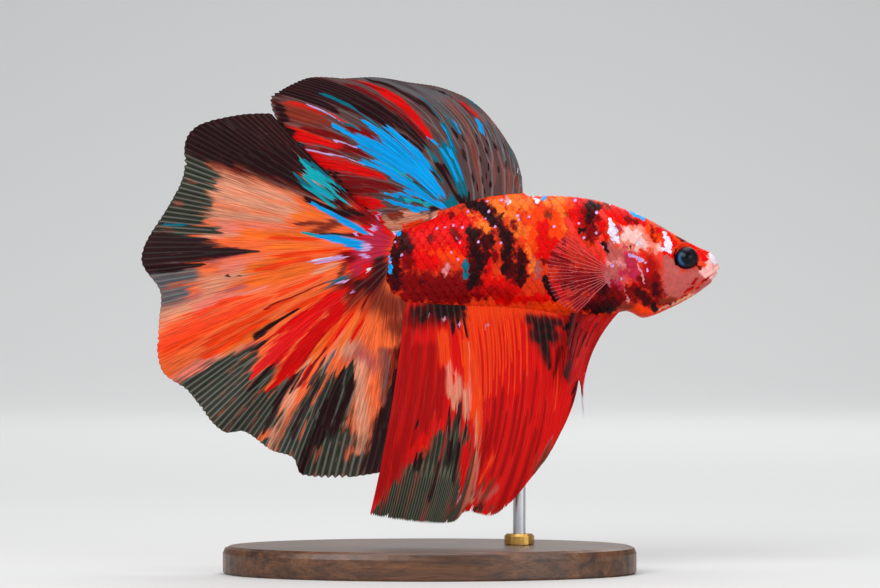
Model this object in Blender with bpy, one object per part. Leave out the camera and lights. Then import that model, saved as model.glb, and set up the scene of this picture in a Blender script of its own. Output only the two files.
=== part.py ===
"""Halfmoon betta: a male Siamese fighting fish in full spread, life size, on a plain display stand.

Sizes are in millimetres until mesh_object() and the stand's functions turn them into metres. +X runs towards
the head and +Z up, so the fish's right side faces -Y. The origin is the middle of the stand's underside.
The body is one lofted form, parted by thin cuts. Each fin is a thin rippled sheet spread on its rays.
"""

import math
from functools import partial

import bmesh
import bpy
from mathutils import Vector

MM = 0.001
GAP = 0.3  # the thin cuts between neighbouring pieces
CUT_REACH = 9.0  # how far to each side of the middle plane the cuts run, clear of the body
FIT = 0.1  # clearance of the rod in its base and collar

# Body, along x from the snout's tip to the end of the tail stalk.
SNOUT_X, SNOUT_ROUND = 36.4, 1.3  # the tip, and how far back its rounding starts
STALK_X, STALK_ROUND = -5.9, 1.3
BODY_RINGS, BODY_SIDES = 38, 24
# (x, height) down the back and the belly, with the level where the body is widest between them.
BACK = ((-5.9, 43.0), (-4.0, 43.1), (-1.2, 44.0), (2.2, 45.5), (6.4, 46.8), (12.0, 47.5), (18.0, 47.4),
        (22.7, 46.5), (27.7, 44.4), (31.5, 42.2), (34.0, 40.9), (36.4, 40.0))
BELLY = ((-5.9, 34.6), (-3.2, 34.4), (3.0, 34.0), (9.0, 33.8), (14.0, 33.3), (18.5, 32.4), (22.0, 32.1),
         (24.8, 32.9), (26.9, 32.1), (30.2, 33.3), (33.2, 34.9), (35.0, 36.2), (36.4, 37.2))
WIDEST = ((-5.9, 38.8), (4.0, 39.6), (12.0, 40.0), (20.0, 39.4), (26.0, 38.2), (30.0, 37.9), (34.0, 38.3),
          (36.4, 38.7))
HALF_WIDTH = ((-5.9, 0.9), (-3.0, 1.25), (1.0, 1.95), (6.0, 2.65), (12.0, 3.3), (18.0, 3.65), (24.0, 3.75),
              (28.0, 3.2), (31.5, 2.45), (34.2, 1.7), (36.4, 1.15))
# How pinched the section is above and below its widest level: 1 is an ellipse, more is a keel.
PINCH_ABOVE = ((-5.9, 1.1), (8.0, 1.12), (20.0, 0.95), (31.0, 0.78), (36.4, 0.9))
PINCH_BELOW = ((-5.9, 1.1), (10.0, 1.2), (19.0, 1.0), (26.0, 0.8), (36.4, 0.9))

NECK_X = 24.05  # the cut behind the gill covers
STALK_CUT_X = 1.2  # the cut between trunk and tail stalk
JAW_HINGE = (31.4, 34.6)
MOUTH_CORNER = (34.6, 36.9)
GAPE_TIP_Z = 38.3
GILL_CENTRE, GILL_RADII = (26.9, 36.4), (2.35, 3.95)
GILL_INNER_Y = 2.0  # the cover's flat inner face
EYE_CENTRE, EYE_RADIUS, EYE_DEPTH = (32.2, 1.5, 39.5), 1.46, 1.0

FIN_THICK = 0.5
# A fin's rays, from its first to its last: (u, share of the base, tip x, tip z, bow), where u spreads the rays
# evenly over the fin and the bow is how far a ray's middle stands off its chord, towards the fin's front.
DORSAL_BASE_X = (11.7, 1.5)
DORSAL_RAYS = ((0.0, 0.0, 11.6, 49.9, 0.0), (0.07, 0.08, 10.3, 53.4, 0.5), (0.18, 0.18, 6.3, 58.6, 1.2),
               (0.28, 0.36, 1.9, 60.9, 2.1), (0.38, 0.5, -3.1, 61.8, 2.9), (0.46, 0.6, -6.9, 62.4, 3.6),
               (0.53, 0.68, -10.7, 62.3, 3.5), (0.6, 0.76, -15.1, 62.4, 3.1), (0.67, 0.84, -18.4, 61.0, 2.6),
               (0.71, 0.9, -20.1, 59.7, 2.2), (0.77, 0.95, -18.6, 55.9, 1.7), (0.89, 0.98, -12.4, 49.0, 1.0),
               (1.0, 1.0, -6.4, 43.15, -0.85))
ANAL_BASE_X = (17.8, -3.1)
ANAL_RAYS = ((0.0, 0.0, 16.6, 18.0, 1.6), (0.06, 0.06, 14.8, 14.6, 1.75), (0.13, 0.13, 12.6, 11.7, 1.8),
             (0.22, 0.22, 10.1, 8.8, 1.9), (0.3, 0.3, 7.8, 7.2, 2.0), (0.4, 0.4, 5.8, 7.5, 2.1),
             (0.5, 0.5, 4.3, 7.6, 2.1), (0.6, 0.6, 3.1, 6.5, 2.1), (0.7, 0.7, 1.0, 6.3, 1.9),
             (0.8, 0.8, -1.5, 6.4, 1.5), (0.9, 0.9, -4.7, 6.8, 0.9), (1.0, 1.0, -7.5, 7.4, 0.5))
CAUDAL_CENTRE = (-4.8, 38.8)
CAUDAL_ROOT = (1.5, 4.5)  # the root's half-axes, round the end of the stalk
CAUDAL_ROOT_TURN = (101.0, 236.0)
CAUDAL_TURN = (128.5, 268.0)  # the fan's first and last ray, in degrees anticlockwise from the head
CAUDAL_TUCK, TUCK_SHARE = 5.0, 0.15  # the last rays' further turn, behind the anal fin
TUCK_FOOT, TUCK_BOW = (1.4, -1.1), -1.3  # how their feet come forward under the stalk, and their bow
CAUDAL_BOW = (-0.4, 0.9)  # the first ray bends down on its way out and the last one back
CAUDAL_REACH = ((128.5, 24.3), (137.0, 27.3), (147.0, 30.3), (157.0, 28.4), (165.0, 28.9), (178.5, 31.4),
                (186.5, 29.3), (194.0, 30.2), (204.7, 31.8), (212.0, 30.2), (225.0, 29.8), (228.5, 28.1),
                (237.0, 27.9), (243.0, 27.3), (247.0, 28.8), (264.0, 26.0), (268.0, 25.8))
PECTORAL_ROOT, PECTORAL_BASE = (22.7, 37.6), 1.0
PECTORAL_TURN = (142.0, 226.0)
PECTORAL_REACH = ((142.0, 7.3), (160.0, 8.0), (183.0, 8.1), (205.0, 7.5), (226.0, 6.0))
PECTORAL_FLARE = {"right": 11.0, "left": 22.0}  # degrees out from the flank
PECTORAL_START = 0.5  # how far from its centre the fan's root begins
PELVIC_ROOT = ((23.0, 31.95), (19.6, 31.9))  # the first and last ray's feet
PELVIC_RAYS = ((0.0, 19.4, 19.0, 1.5), (0.2, 18.9, 24.0, 0.5), (0.55, 17.6, 23.5, 0.4),
               (1.0, 16.7, 25.0, 0.0))
PELVIC_SPREAD = (0.75, 1.9)  # distance from the middle plane at the root and at the tip

ROD_X, ROD_Y, ROD_RADIUS, ROD_EDGE = 11.3, 1.75, 0.8, 0.2
ROD_IN_BODY = 3.4
BASE_RADII, BASE_HEIGHT, BASE_EDGE, FOOT_EDGE = (26.0, 15.0), 3.5, 0.9, 0.3
SOCKET_DEPTH = 2.4
COLLAR_RADIUS, COLLAR_HEIGHT, COLLAR_EDGE = 1.9, 1.3, 0.3

RED, ORANGE, FLESH = (0.62, 0.02, 0.01), (0.75, 0.13, 0.02), (0.72, 0.3, 0.24)
SMOKE, PINK, IRIS = (0.08, 0.07, 0.08), (0.75, 0.3, 0.3), (0.01, 0.012, 0.02)
WALNUT, STEEL, BRASS = (0.07, 0.03, 0.015), (0.6, 0.6, 0.6), (0.7, 0.5, 0.2)


def along(knots, t):
    """A smooth curve through (t, value, ...) knots in order of t: a number, or a tuple of several values."""
    i = max(k for k in range(len(knots) - 1) if k == 0 or knots[k][0] <= t)
    before, start, end, after = (knots[max(0, min(len(knots) - 1, k))] for k in range(i - 1, i + 3))
    step = end[0] - start[0]
    share = max(0.0, min(1.0, (t - start[0]) / step))
    values = []
    for a, b, c, d in zip(before[1:], start[1:], end[1:], after[1:]):
        leave = (c - a) / (end[0] - before[0]) * step
        arrive = (d - b) / (after[0] - start[0]) * step
        bend = share * (1 - share) * (leave * (1 - share) - arrive * share)
        values.append(b + (c - b) * ease(share) + bend)
    return values[0] if len(values) == 1 else tuple(values)


def ease(share):
    share = max(0.0, min(1.0, share))
    return share * share * (3 - 2 * share)


def mix(a, b, share):
    return a + (b - a) * share


def finish_of(name, colour, roughness, metallic=0.0):
    """A Principled material, made once for each name."""
    material = bpy.data.materials.get(name)
    if material is None:
        material = bpy.data.materials.new(name)
        material.use_nodes = True
        shader = material.node_tree.nodes["Principled BSDF"]
        shader.inputs["Base Color"].default_value = (*colour, 1.0)
        shader.inputs["Roughness"].default_value = roughness
        shader.inputs["Metallic"].default_value = metallic
    return material


def mesh_object(name, points, faces, origin, material, parent):
    """An object of these points, in millimetres in the fish's frame, with its own origin among them."""
    mesh = bpy.data.meshes.new(name)
    mesh.from_pydata([(Vector(p) - Vector(origin)) * MM for p in points], [], faces)
    mesh.update()
    mesh.shade_smooth()
    mesh.set_sharp_from_angle(angle=math.radians(40))
    if material:
        mesh.materials.append(material)
    made = bpy.data.objects.new(name, mesh)
    bpy.context.scene.collection.objects.link(made)
    made.parent = parent
    made.location = Vector(origin) * MM
    return made


def helper(made):
    made.hide_render = True
    made.display_type = "WIRE"
    return made


def boolean(made, operation, cutter):
    modifier = made.modifiers.new(cutter.name, "BOOLEAN")
    modifier.operation = operation
    modifier.object = cutter
    modifier.solver = "EXACT"


# The body's form.


def end_taper(x):
    """How the section shrinks over the rounded snout and over the round end of the tail stalk."""
    if x > SNOUT_X - SNOUT_ROUND:
        share = (x - SNOUT_X + SNOUT_ROUND) / SNOUT_ROUND
        return max(0.0, 1 - share ** 2) ** 0.75
    share = max(0.0, (STALK_X + STALK_ROUND - x) / STALK_ROUND)
    return max(0.0, 1 - share ** 2) ** 0.5


def body_point(x, turn):
    """The body's surface at x. The turn runs from the back at 90 degrees down the left flank, at +Y."""
    taper, middle = end_taper(x), along(WIDEST, x)
    up, out = math.sin(math.radians(turn)), math.cos(math.radians(turn))
    edge = along(BACK if up > 0 else BELLY, x)
    pinch = along(PINCH_ABOVE if up > 0 else PINCH_BELOW, x)
    half = along(HALF_WIDTH, x) * taper ** 0.8
    return (x, math.copysign(abs(out) ** pinch, out) * half, middle + abs(up) * (edge - middle) * taper)


def body_form(name, material, parent):
    """The whole body as one closed loft."""
    points = [(SNOUT_X, 0.0, along(WIDEST, SNOUT_X))]
    for ring in range(1, BODY_RINGS):
        share = (1 - math.cos(math.pi * ring / BODY_RINGS)) / 2
        x = mix(SNOUT_X, STALK_X, mix(ring / BODY_RINGS, share, 0.75))
        points += [body_point(x, 90 - 360 * side / BODY_SIDES) for side in range(BODY_SIDES)]
    points.append((STALK_X, 0.0, along(WIDEST, STALK_X)))
    last = len(points) - 1
    faces = []
    for side in range(BODY_SIDES):
        beside = (side + 1) % BODY_SIDES
        faces.append((0, 1 + beside, 1 + side))
        for ring in range(BODY_RINGS - 2):
            row, below = 1 + ring * BODY_SIDES, 1 + (ring + 1) * BODY_SIDES
            faces.append((row + side, row + beside, below + beside, below + side))
        row = 1 + (BODY_RINGS - 2) * BODY_SIDES
        faces.append((last, row + side, row + beside))
    return mesh_object(name, points, faces, (12.0, 0.0, 39.0), material, parent)


def prism(name, outline, from_y, to_y, parent):
    """A cutter with this (x, z) outline, anticlockwise seen from -Y."""
    count = len(outline)
    points = [(x, from_y, z) for x, z in outline] + [(x, to_y, z) for x, z in outline]
    faces = [tuple(range(count)), tuple(reversed(range(count, 2 * count)))]
    faces += [(i, count + i, count + (i + 1) % count, (i + 1) % count) for i in range(count)]
    return helper(mesh_object(name, points, faces, (0.0, 0.0, 0.0), None, parent))


def slab(name, from_x, to_x, parent):
    """A cutter that keeps the stretch of the body between two upright planes."""
    low, high = 25.0, 55.0
    outline = ((from_x, low), (to_x, low), (to_x, high), (from_x, high))
    return prism(name, outline, -CUT_REACH, CUT_REACH, parent)


def jaw_outline(grow):
    """The lower jaw's zone: the gape from the snout to the mouth's corner, then back to the jaw's hinge."""
    return ((JAW_HINGE[0] - grow, 30.0), (40.0, 30.0), (40.0, GAPE_TIP_Z + grow + 1.6),
            (SNOUT_X, GAPE_TIP_Z + grow), (MOUTH_CORNER[0], MOUTH_CORNER[1] + grow),
            (JAW_HINGE[0] - grow, JAW_HINGE[1] + grow))


def gill_outline(grow):
    """The gill cover's upright rounded plate."""
    outline = []
    for i in range(28):
        angle = 2 * math.pi * i / 28
        out, up = math.cos(angle), math.sin(angle)
        outline.append((GILL_CENTRE[0] + math.copysign(abs(out) ** 0.8, out) * (GILL_RADII[0] + grow),
                        GILL_CENTRE[1] + math.copysign(abs(up) ** 0.9, up) * (GILL_RADII[1] + grow)))
    return outline


def ball(name, centre, radii, material, parent, rings=10, sides=20):
    """A rounded ball with its poles out to the sides."""
    points = [(centre[0], centre[1] - radii[1], centre[2])]
    for ring in range(1, rings):
        lift = math.pi * ring / rings
        for side in range(sides):
            turn = 2 * math.pi * side / sides
            points.append((centre[0] + radii[0] * math.sin(lift) * math.cos(turn),
                           centre[1] - radii[1] * math.cos(lift),
                           centre[2] + radii[2] * math.sin(lift) * math.sin(turn)))
    points.append((centre[0], centre[1] + radii[1], centre[2]))
    last = len(points) - 1
    faces = []
    for side in range(sides):
        beside = (side + 1) % sides
        faces.append((0, 1 + side, 1 + beside))
        for ring in range(rings - 2):
            row, below = 1 + ring * sides, 1 + (ring + 1) * sides
            faces.append((row + side, below + side, below + beside, row + beside))
        row = 1 + (rings - 2) * sides
        faces.append((last, row + beside, row + side))
    return mesh_object(name, points, faces, centre, material, parent)


def build_body(fish):
    flesh = finish_of("flesh", FLESH, 0.4)
    scales = finish_of("scales", ORANGE, 0.35)
    scales_behind = finish_of("scales_behind", RED, 0.35)
    glossy_eye = finish_of("eye", IRIS, 0.08)
    jaw_zone = prism("cut_jaw_zone", jaw_outline(0.0), -CUT_REACH, CUT_REACH, fish)
    jaw_room = prism("cut_jaw_room", jaw_outline(GAP), -CUT_REACH, CUT_REACH, fish)
    head = body_form("head", flesh, fish)
    boolean(head, "INTERSECT", slab("cut_head_zone", NECK_X + GAP / 2, 45.0, fish))
    boolean(head, "DIFFERENCE", jaw_room)
    for side, sign in (("right", -1), ("left", 1)):
        inner, outer = sorted((sign * GILL_INNER_Y, sign * CUT_REACH))
        cover_zone = prism(f"cut_gill_zone_{side}", gill_outline(0.0), inner, outer, fish)
        inner, outer = sorted((sign * (GILL_INNER_Y - GAP), sign * CUT_REACH))
        boolean(head, "DIFFERENCE", prism(f"cut_gill_room_{side}", gill_outline(GAP), inner, outer, fish))
        cover = body_form(f"gill_cover_{side}", flesh, fish)
        boolean(cover, "INTERSECT", cover_zone)
        centre = (EYE_CENTRE[0], sign * EYE_CENTRE[1], EYE_CENTRE[2])
        ball(f"eye_{side}", centre, (EYE_RADIUS, EYE_DEPTH, EYE_RADIUS), glossy_eye, fish)
        room = (EYE_RADIUS + GAP, EYE_DEPTH + GAP, EYE_RADIUS + GAP)
        boolean(head, "DIFFERENCE", helper(ball(f"cut_eye_room_{side}", centre, room, None, fish)))
    jaw = body_form("lower_jaw", flesh, fish)
    boolean(jaw, "INTERSECT", jaw_zone)
    trunk = body_form("trunk", scales, fish)
    boolean(trunk, "INTERSECT", slab("cut_trunk_zone", STALK_CUT_X + GAP / 2, NECK_X - GAP / 2, fish))
    boolean(trunk, "DIFFERENCE", rod_room(fish))
    stalk = body_form("tail_stalk", scales_behind, fish)
    boolean(stalk, "INTERSECT", slab("cut_stalk_zone", -20.0, STALK_CUT_X - GAP / 2, fish))


# The fins.


def sheet_object(name, surface, across, out, material, parent):
    """A closed sheet on surface(u, r): u runs from the first ray to the last, r from the root to the tip."""
    points, faces = [], []
    for side in (-0.5, 0.5):
        for i in range(across + 1):
            for j in range(out + 1):
                x, y, z = surface(i / across, j / out)
                points.append((x, y + side * FIN_THICK, z))
    rows, half = out + 1, (across + 1) * (out + 1)
    for i in range(across):
        for j in range(out):
            a, b, c, d = i * rows + j, (i + 1) * rows + j, (i + 1) * rows + j + 1, i * rows + j + 1
            faces.append((a, d, c, b))
            faces.append((half + a, half + b, half + c, half + d))
    rim = [i * rows for i in range(across)] + [across * rows + j for j in range(out)]
    rim += [i * rows + out for i in range(across, 0, -1)] + list(range(out, 0, -1))
    for a, b in zip(rim, rim[1:] + rim[:1]):
        faces.append((a, b, half + b, half + a))
    made = mesh_object(name, points, faces, surface(0.5, 0.0), material, parent)
    bm = bmesh.new()
    bm.from_mesh(made.data)
    if bm.calc_volume(signed=True) < 0:
        bmesh.ops.reverse_faces(bm, faces=bm.faces)
    bm.to_mesh(made.data)
    bm.free()


def bowed(root, tip, bow, r):
    """A point on a ray from root to tip. The bow is to the ray's right as it runs out."""
    dx, dz = tip[0] - root[0], tip[1] - root[1]
    length = math.hypot(dx, dz)
    off = 4 * bow * r * (1 - r)
    return (root[0] + dx * r + dz / length * off, root[1] + dz * r - dx / length * off)


def ragged(u, rays, depth):
    """A share just under 1 between neighbouring ray tips and 1 at them."""
    return 1 - depth * math.sin(math.pi * u * rays) ** 2


def dorsal_surface(u, r):
    share, tip_x, tip_z, bow = along(DORSAL_RAYS, u)
    x = mix(*DORSAL_BASE_X, share)
    root = (x, along(BACK, x) + GAP)
    reach = r * ragged(u, 15, 0.02)
    px, pz = bowed(root, (tip_x, tip_z), bow, reach)
    lean = 1.5 * ease(u * 1.4 - 0.3) * ease(r * 1.6)
    return (px, lean + 0.55 * r ** 1.5 * math.sin(13.0 * u + 0.6), pz)


def anal_surface(u, r):
    share, tip_x, tip_z, bow = along(ANAL_RAYS, u)
    x = mix(*ANAL_BASE_X, share)
    root = (x, along(BELLY, x) - GAP)
    reach = r * ragged(u, 15, 0.02)
    px, pz = bowed(root, (tip_x, tip_z), -bow, reach)
    lean = -1.3 * ease(u * 1.5 - 0.5) * ease(r * 1.5)
    return (px, lean + 0.6 * r ** 1.4 * math.sin(17.0 * u - 0.4) * ease(u * 6), pz)


def caudal_surface(u, r):
    tuck = ease((u + TUCK_SHARE - 1) / TUCK_SHARE)
    turn = mix(*CAUDAL_TURN, u) + CAUDAL_TUCK * tuck
    far = along(CAUDAL_REACH, turn) * ragged(u, 18, 0.012)
    turn, foot = math.radians(turn), math.radians(mix(*CAUDAL_ROOT_TURN, u))
    tip = (CAUDAL_CENTRE[0] + far * math.cos(turn), CAUDAL_CENTRE[1] + far * math.sin(turn))
    root = (CAUDAL_CENTRE[0] + CAUDAL_ROOT[0] * math.cos(foot) + TUCK_FOOT[0] * tuck ** 2,
            CAUDAL_CENTRE[1] + CAUDAL_ROOT[1] * math.sin(foot) + TUCK_FOOT[1] * tuck)
    px, pz = bowed(root, tip, mix(*CAUDAL_BOW, u) + TUCK_BOW * tuck, r)
    lean = mix(-1.3, 1.3, ease(u)) * ease(r * 2.2)
    return (px, lean + 0.85 * r ** 1.4 * math.sin(43.0 * u + 1.0), pz)


def pectoral_surface(sign, flare, u, r):
    turn = mix(*PECTORAL_TURN, u)
    far = mix(PECTORAL_START, along(PECTORAL_REACH, turn), r)
    px = PECTORAL_ROOT[0] + far * math.cos(math.radians(turn))
    pz = PECTORAL_ROOT[1] + far * math.sin(math.radians(turn)) - (u - 0.5) * PECTORAL_BASE
    flank = along(HALF_WIDTH, PECTORAL_ROOT[0]) + GAP + FIN_THICK / 2
    out = flank + far * math.tan(math.radians(flare)) + 0.2 * r * math.sin(14.0 * u)
    return (px, sign * out, pz)


def pelvic_surface(sign, u, r):
    root = tuple(mix(a, b, u) for a, b in zip(*PELVIC_ROOT))
    tip_x, tip_z, bow = along(PELVIC_RAYS, u)
    px, pz = bowed(root, (tip_x, tip_z), bow, r)
    out = mix(*PELVIC_SPREAD, ease(r * 1.2)) + 0.2 * math.sin(4.0 * u + 5.0 * r) * r
    return (px, sign * out, pz)


def build_fins(fish):
    red = finish_of("fin_red", RED, 0.45)
    orange = finish_of("fin_orange", ORANGE, 0.45)
    smoke = finish_of("fin_smoke", SMOKE, 0.45)
    clear_pink = finish_of("fin_pink", PINK, 0.4)
    sheet_object("dorsal_fin", dorsal_surface, 28, 8, smoke, fish)
    sheet_object("anal_fin", anal_surface, 28, 8, red, fish)
    sheet_object("caudal_fin", caudal_surface, 46, 8, orange, fish)
    for side, sign in (("right", -1), ("left", 1)):
        pectoral = partial(pectoral_surface, sign, PECTORAL_FLARE[side])
        sheet_object(f"pectoral_fin_{side}", pectoral, 12, 5, clear_pink, fish)
        sheet_object(f"pelvic_fin_{side}", partial(pelvic_surface, sign), 6, 8, red, fish)


# The stand.


def turned(name, profile, sides, location, material, stretch=1.0):
    """A turned piece of (radius, height) pairs, from the bottom up the outside. Stretch widens it along Y."""
    mesh = bpy.data.meshes.new(name)
    bm = bmesh.new()
    rings = []
    for radius, height in profile:
        if radius == 0:
            rings.append([bm.verts.new((0, 0, height * MM))])
            continue
        angles = [2 * math.pi * i / sides for i in range(sides)]
        places = [(radius * math.cos(a), radius * math.sin(a) * stretch, height) for a in angles]
        rings.append([bm.verts.new(Vector(place) * MM) for place in places])
    for low, high in zip(rings, rings[1:] + (rings[:1] if len(rings[0]) > 1 else [])):
        for i in range(sides):
            beside = (i + 1) % sides
            ring = [low[i % len(low)], low[beside % len(low)], high[beside % len(high)], high[i % len(high)]]
            corners = [v for k, v in enumerate(ring) if v not in ring[:k]]
            if len(corners) > 2:
                bm.faces.new(corners)
    bmesh.ops.recalc_face_normals(bm, faces=bm.faces)
    bm.to_mesh(mesh)
    bm.free()
    mesh.shade_smooth()
    mesh.set_sharp_from_angle(angle=math.radians(30))
    if material:
        mesh.materials.append(material)
    made = bpy.data.objects.new(name, mesh)
    bpy.context.scene.collection.objects.link(made)
    made.location = Vector(location) * MM
    return made


def rod_top():
    """The rod ends inside the trunk, well above the belly's surface over it."""
    return along(BELLY, ROD_X) + ROD_IN_BODY


def rod_room(fish):
    """The cutter for the rod's hole in the belly."""
    radius, top = ROD_RADIUS + FIT, rod_top() + GAP
    profile = ((0, 28), (radius, 28), (radius, top), (0, top))
    return helper(turned("cut_rod_room", profile, 20, (ROD_X, ROD_Y, 0.0), None))


def build_stand():
    walnut = finish_of("stand_walnut", WALNUT, 0.3)
    steel = finish_of("stand_steel", STEEL, 0.25, 1.0)
    brass = finish_of("stand_brass", BRASS, 0.3, 1.0)
    long, wide = BASE_RADII
    rim = ((0, 0), (long - FOOT_EDGE, 0), (long, FOOT_EDGE), (long, BASE_HEIGHT - BASE_EDGE),
           (long - 0.3 * BASE_EDGE, BASE_HEIGHT - 0.3 * BASE_EDGE), (long - BASE_EDGE, BASE_HEIGHT),
           (0, BASE_HEIGHT))
    base = turned("stand_base", rim, 64, (0.0, 0.0, 0.0), walnut, wide / long)
    floor = BASE_HEIGHT - SOCKET_DEPTH
    radius = ROD_RADIUS + FIT
    socket = helper(turned("cut_socket", ((0, floor), (radius, floor), (radius, 6), (0, 6)), 20,
                           (ROD_X, ROD_Y, 0.0), None))
    boolean(base, "DIFFERENCE", socket)
    foot, top, edge = floor + FIT, rod_top(), ROD_EDGE
    rod = ((0, foot), (ROD_RADIUS, foot), (ROD_RADIUS, top - edge), (ROD_RADIUS - edge, top), (0, top))
    turned("stand_rod", rod, 20, (ROD_X, ROD_Y, 0.0), steel)
    low, high = BASE_HEIGHT + FIT, BASE_HEIGHT + FIT + COLLAR_HEIGHT
    ring = ((radius, low), (COLLAR_RADIUS, low), (COLLAR_RADIUS, high - COLLAR_EDGE),
            (COLLAR_RADIUS - COLLAR_EDGE, high), (radius, high))
    turned("stand_collar", ring, 20, (ROD_X, ROD_Y, 0.0), brass)


def main():
    for old in list(bpy.data.objects):
        bpy.data.objects.remove(old)
    fish = bpy.data.objects.new("fish", None)
    bpy.context.scene.collection.objects.link(fish)
    build_body(fish)
    build_fins(fish)
    build_stand()


main()
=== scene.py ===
"""Halfmoon betta in full spread: the looks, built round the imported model.

Sizes are in millimetres and become metres in joined_piece(). +X runs towards the head and +Z up, so the
fish's right side faces -Y. Markings are strokes: (from a, b, half width, to a, b, half width). On the body
a and b are x and z. On a fin they are thousandths of the way from its first ray to its last, and of the way
from its root to its edge.
"""

import math

import bpy
import numpy as np
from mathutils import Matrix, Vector


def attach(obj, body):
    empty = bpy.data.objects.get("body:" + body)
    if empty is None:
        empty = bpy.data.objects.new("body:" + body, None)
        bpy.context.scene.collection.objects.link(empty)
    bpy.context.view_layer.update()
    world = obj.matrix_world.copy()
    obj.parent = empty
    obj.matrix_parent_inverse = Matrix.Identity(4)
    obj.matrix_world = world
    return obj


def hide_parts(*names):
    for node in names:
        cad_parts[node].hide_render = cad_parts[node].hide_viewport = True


# The setting: a pale sheet of card that sweeps up behind the fish, soft boxes to the left, right, above and
# behind, one more that lights the card, and a level camera that looks at the fish's right side from half a
# metre away.
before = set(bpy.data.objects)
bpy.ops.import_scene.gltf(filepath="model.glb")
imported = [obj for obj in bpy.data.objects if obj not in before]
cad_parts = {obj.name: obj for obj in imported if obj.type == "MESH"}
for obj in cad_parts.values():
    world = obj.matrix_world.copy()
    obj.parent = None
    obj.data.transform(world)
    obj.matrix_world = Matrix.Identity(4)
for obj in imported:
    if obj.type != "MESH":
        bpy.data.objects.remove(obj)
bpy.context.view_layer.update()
MM = 0.001
EYE_LEVEL = 35.1
CAMERA_X, CAMERA_BACK = 1.3, 500.0
FRAME_WIDTH, SENSOR = 110.6, 36.0
CARD_HALF, CARD_NEAR, CARD_FAR, CARD_BEND, CARD_TOP = 2200.0, -1800.0, 715.0, 1000.0, 1800.0
CARD_GREY, CARD_TURNS = (212, 212, 211), 24
SKY_COLOUR, SKY_STRENGTH = (0.9, 0.93, 1.0, 1.0), 0.28
FISH_MIDDLE = (0.0, 0.0, EYE_LEVEL)
SOFT_BOXES = (  # name, place, what it faces, side of the box, watts
    ("key", (-330.0, -520.0, 430.0), FISH_MIDDLE, 420.0, 3.3),
    ("fill", (460.0, -520.0, 160.0), FISH_MIDDLE, 420.0, 1.6),
    ("top", (40.0, 60.0, 620.0), FISH_MIDDLE, 460.0, 2.6),
    ("glow", (120.0, 520.0, 420.0), FISH_MIDDLE, 300.0, 0.7),
    ("backdrop", (0.0, 600.0, 700.0), (0.0, 1300.0, 300.0), 500.0, 4.2),
)


def finish_of(name, **inputs):
    """A new material, its node tree and its Principled shader, with these values on the shader."""
    material = bpy.data.materials.new(name)
    material.use_nodes = True
    shader = material.node_tree.nodes["Principled BSDF"]
    for socket, value in inputs.items():
        shader.inputs[socket.replace("_", " ")].default_value = value
    return material, material.node_tree, shader


def tint(red, green, blue):
    """A linear colour from the everyday 0 to 255 values."""
    shares = (red / 255, green / 255, blue / 255)
    return tuple(c / 12.92 if c < 0.04045 else ((c + 0.055) / 1.055) ** 2.4 for c in shares) + (1.0,)


card_turns = np.radians(np.linspace(0.0, 90.0, CARD_TURNS))
card_line = [(CARD_NEAR, 0.0)]
card_line += [(CARD_FAR + CARD_BEND * math.sin(t), CARD_BEND * (1 - math.cos(t))) for t in card_turns]
card_line.append((CARD_FAR + CARD_BEND, CARD_TOP))
card_points = [(side * CARD_HALF * MM, y * MM, z * MM) for y, z in card_line for side in (-1, 1)]
card_faces = [(2 * i, 2 * i + 1, 2 * i + 3, 2 * i + 2) for i in range(len(card_line) - 1)]
card_mesh = bpy.data.meshes.new("card")
card_mesh.from_pydata(card_points, [], card_faces)
card_mesh.shade_smooth()
card = bpy.data.objects.new("card", card_mesh)
bpy.context.scene.collection.objects.link(card)
card_mesh.materials.append(finish_of("card_paper", Base_Color=tint(*CARD_GREY), Roughness=0.95,
                                     Specular_IOR_Level=0.1)[0])

camera = bpy.data.objects.new("camera", bpy.data.cameras.new("camera"))
bpy.context.scene.collection.objects.link(camera)
camera.location = (CAMERA_X * MM, -CAMERA_BACK * MM, EYE_LEVEL * MM)
camera.rotation_euler = (math.radians(90), 0, 0)
camera.data.sensor_width = SENSOR
camera.data.lens = SENSOR * CAMERA_BACK / FRAME_WIDTH
camera.data.clip_start = 0.01
bpy.context.scene.camera = camera

for name, place, faces, side, watts in SOFT_BOXES:
    lamp = bpy.data.lights.new(name, "AREA")
    lamp.size, lamp.energy = side * MM, watts
    box = bpy.data.objects.new(name, lamp)
    bpy.context.scene.collection.objects.link(box)
    box.location = Vector(place) * MM
    box.rotation_euler = (Vector(faces) - Vector(place)).to_track_quat("-Z", "Y").to_euler()

world = bpy.data.worlds.new("studio")
world.use_nodes = True
sky = world.node_tree.nodes["Background"]
sky.inputs["Color"].default_value, sky.inputs["Strength"].default_value = SKY_COLOUR, SKY_STRENGTH
bpy.context.scene.world = world
bpy.context.scene.view_settings.view_transform = "Standard"


# The flesh: one skin from the lips to the root of the tail, over the head, jaw, gill covers, trunk and tail
# stalk. It is a loft of fine rings, pressed and raised into the orbits, nostrils, lips, cheek plates, gill
# edges and the low ridges that the fins grow from. On the trunk it lies a scale's depth inside the solids.
SNOUT_X, SNOUT_ROUND = 36.4, 1.3
STALK_X, STALK_ROUND = -5.9, 1.3
BACK = ((-5.9, 43.0), (-4.0, 43.1), (-1.2, 44.0), (2.2, 45.5), (6.4, 46.8), (12.0, 47.5), (18.0, 47.4),
        (22.7, 46.5), (27.7, 44.4), (31.5, 42.2), (34.0, 40.9), (36.4, 40.0))
BELLY = ((-5.9, 34.6), (-3.2, 34.4), (3.0, 34.0), (9.0, 33.8), (14.0, 33.3), (18.5, 32.4), (22.0, 32.1),
         (24.8, 32.9), (26.9, 32.1), (30.2, 33.3), (33.2, 34.9), (35.0, 36.2), (36.4, 37.2))
WIDEST = ((-5.9, 38.8), (4.0, 39.6), (12.0, 40.0), (20.0, 39.4), (26.0, 38.2), (30.0, 37.9), (34.0, 38.3),
          (36.4, 38.7))
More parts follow.
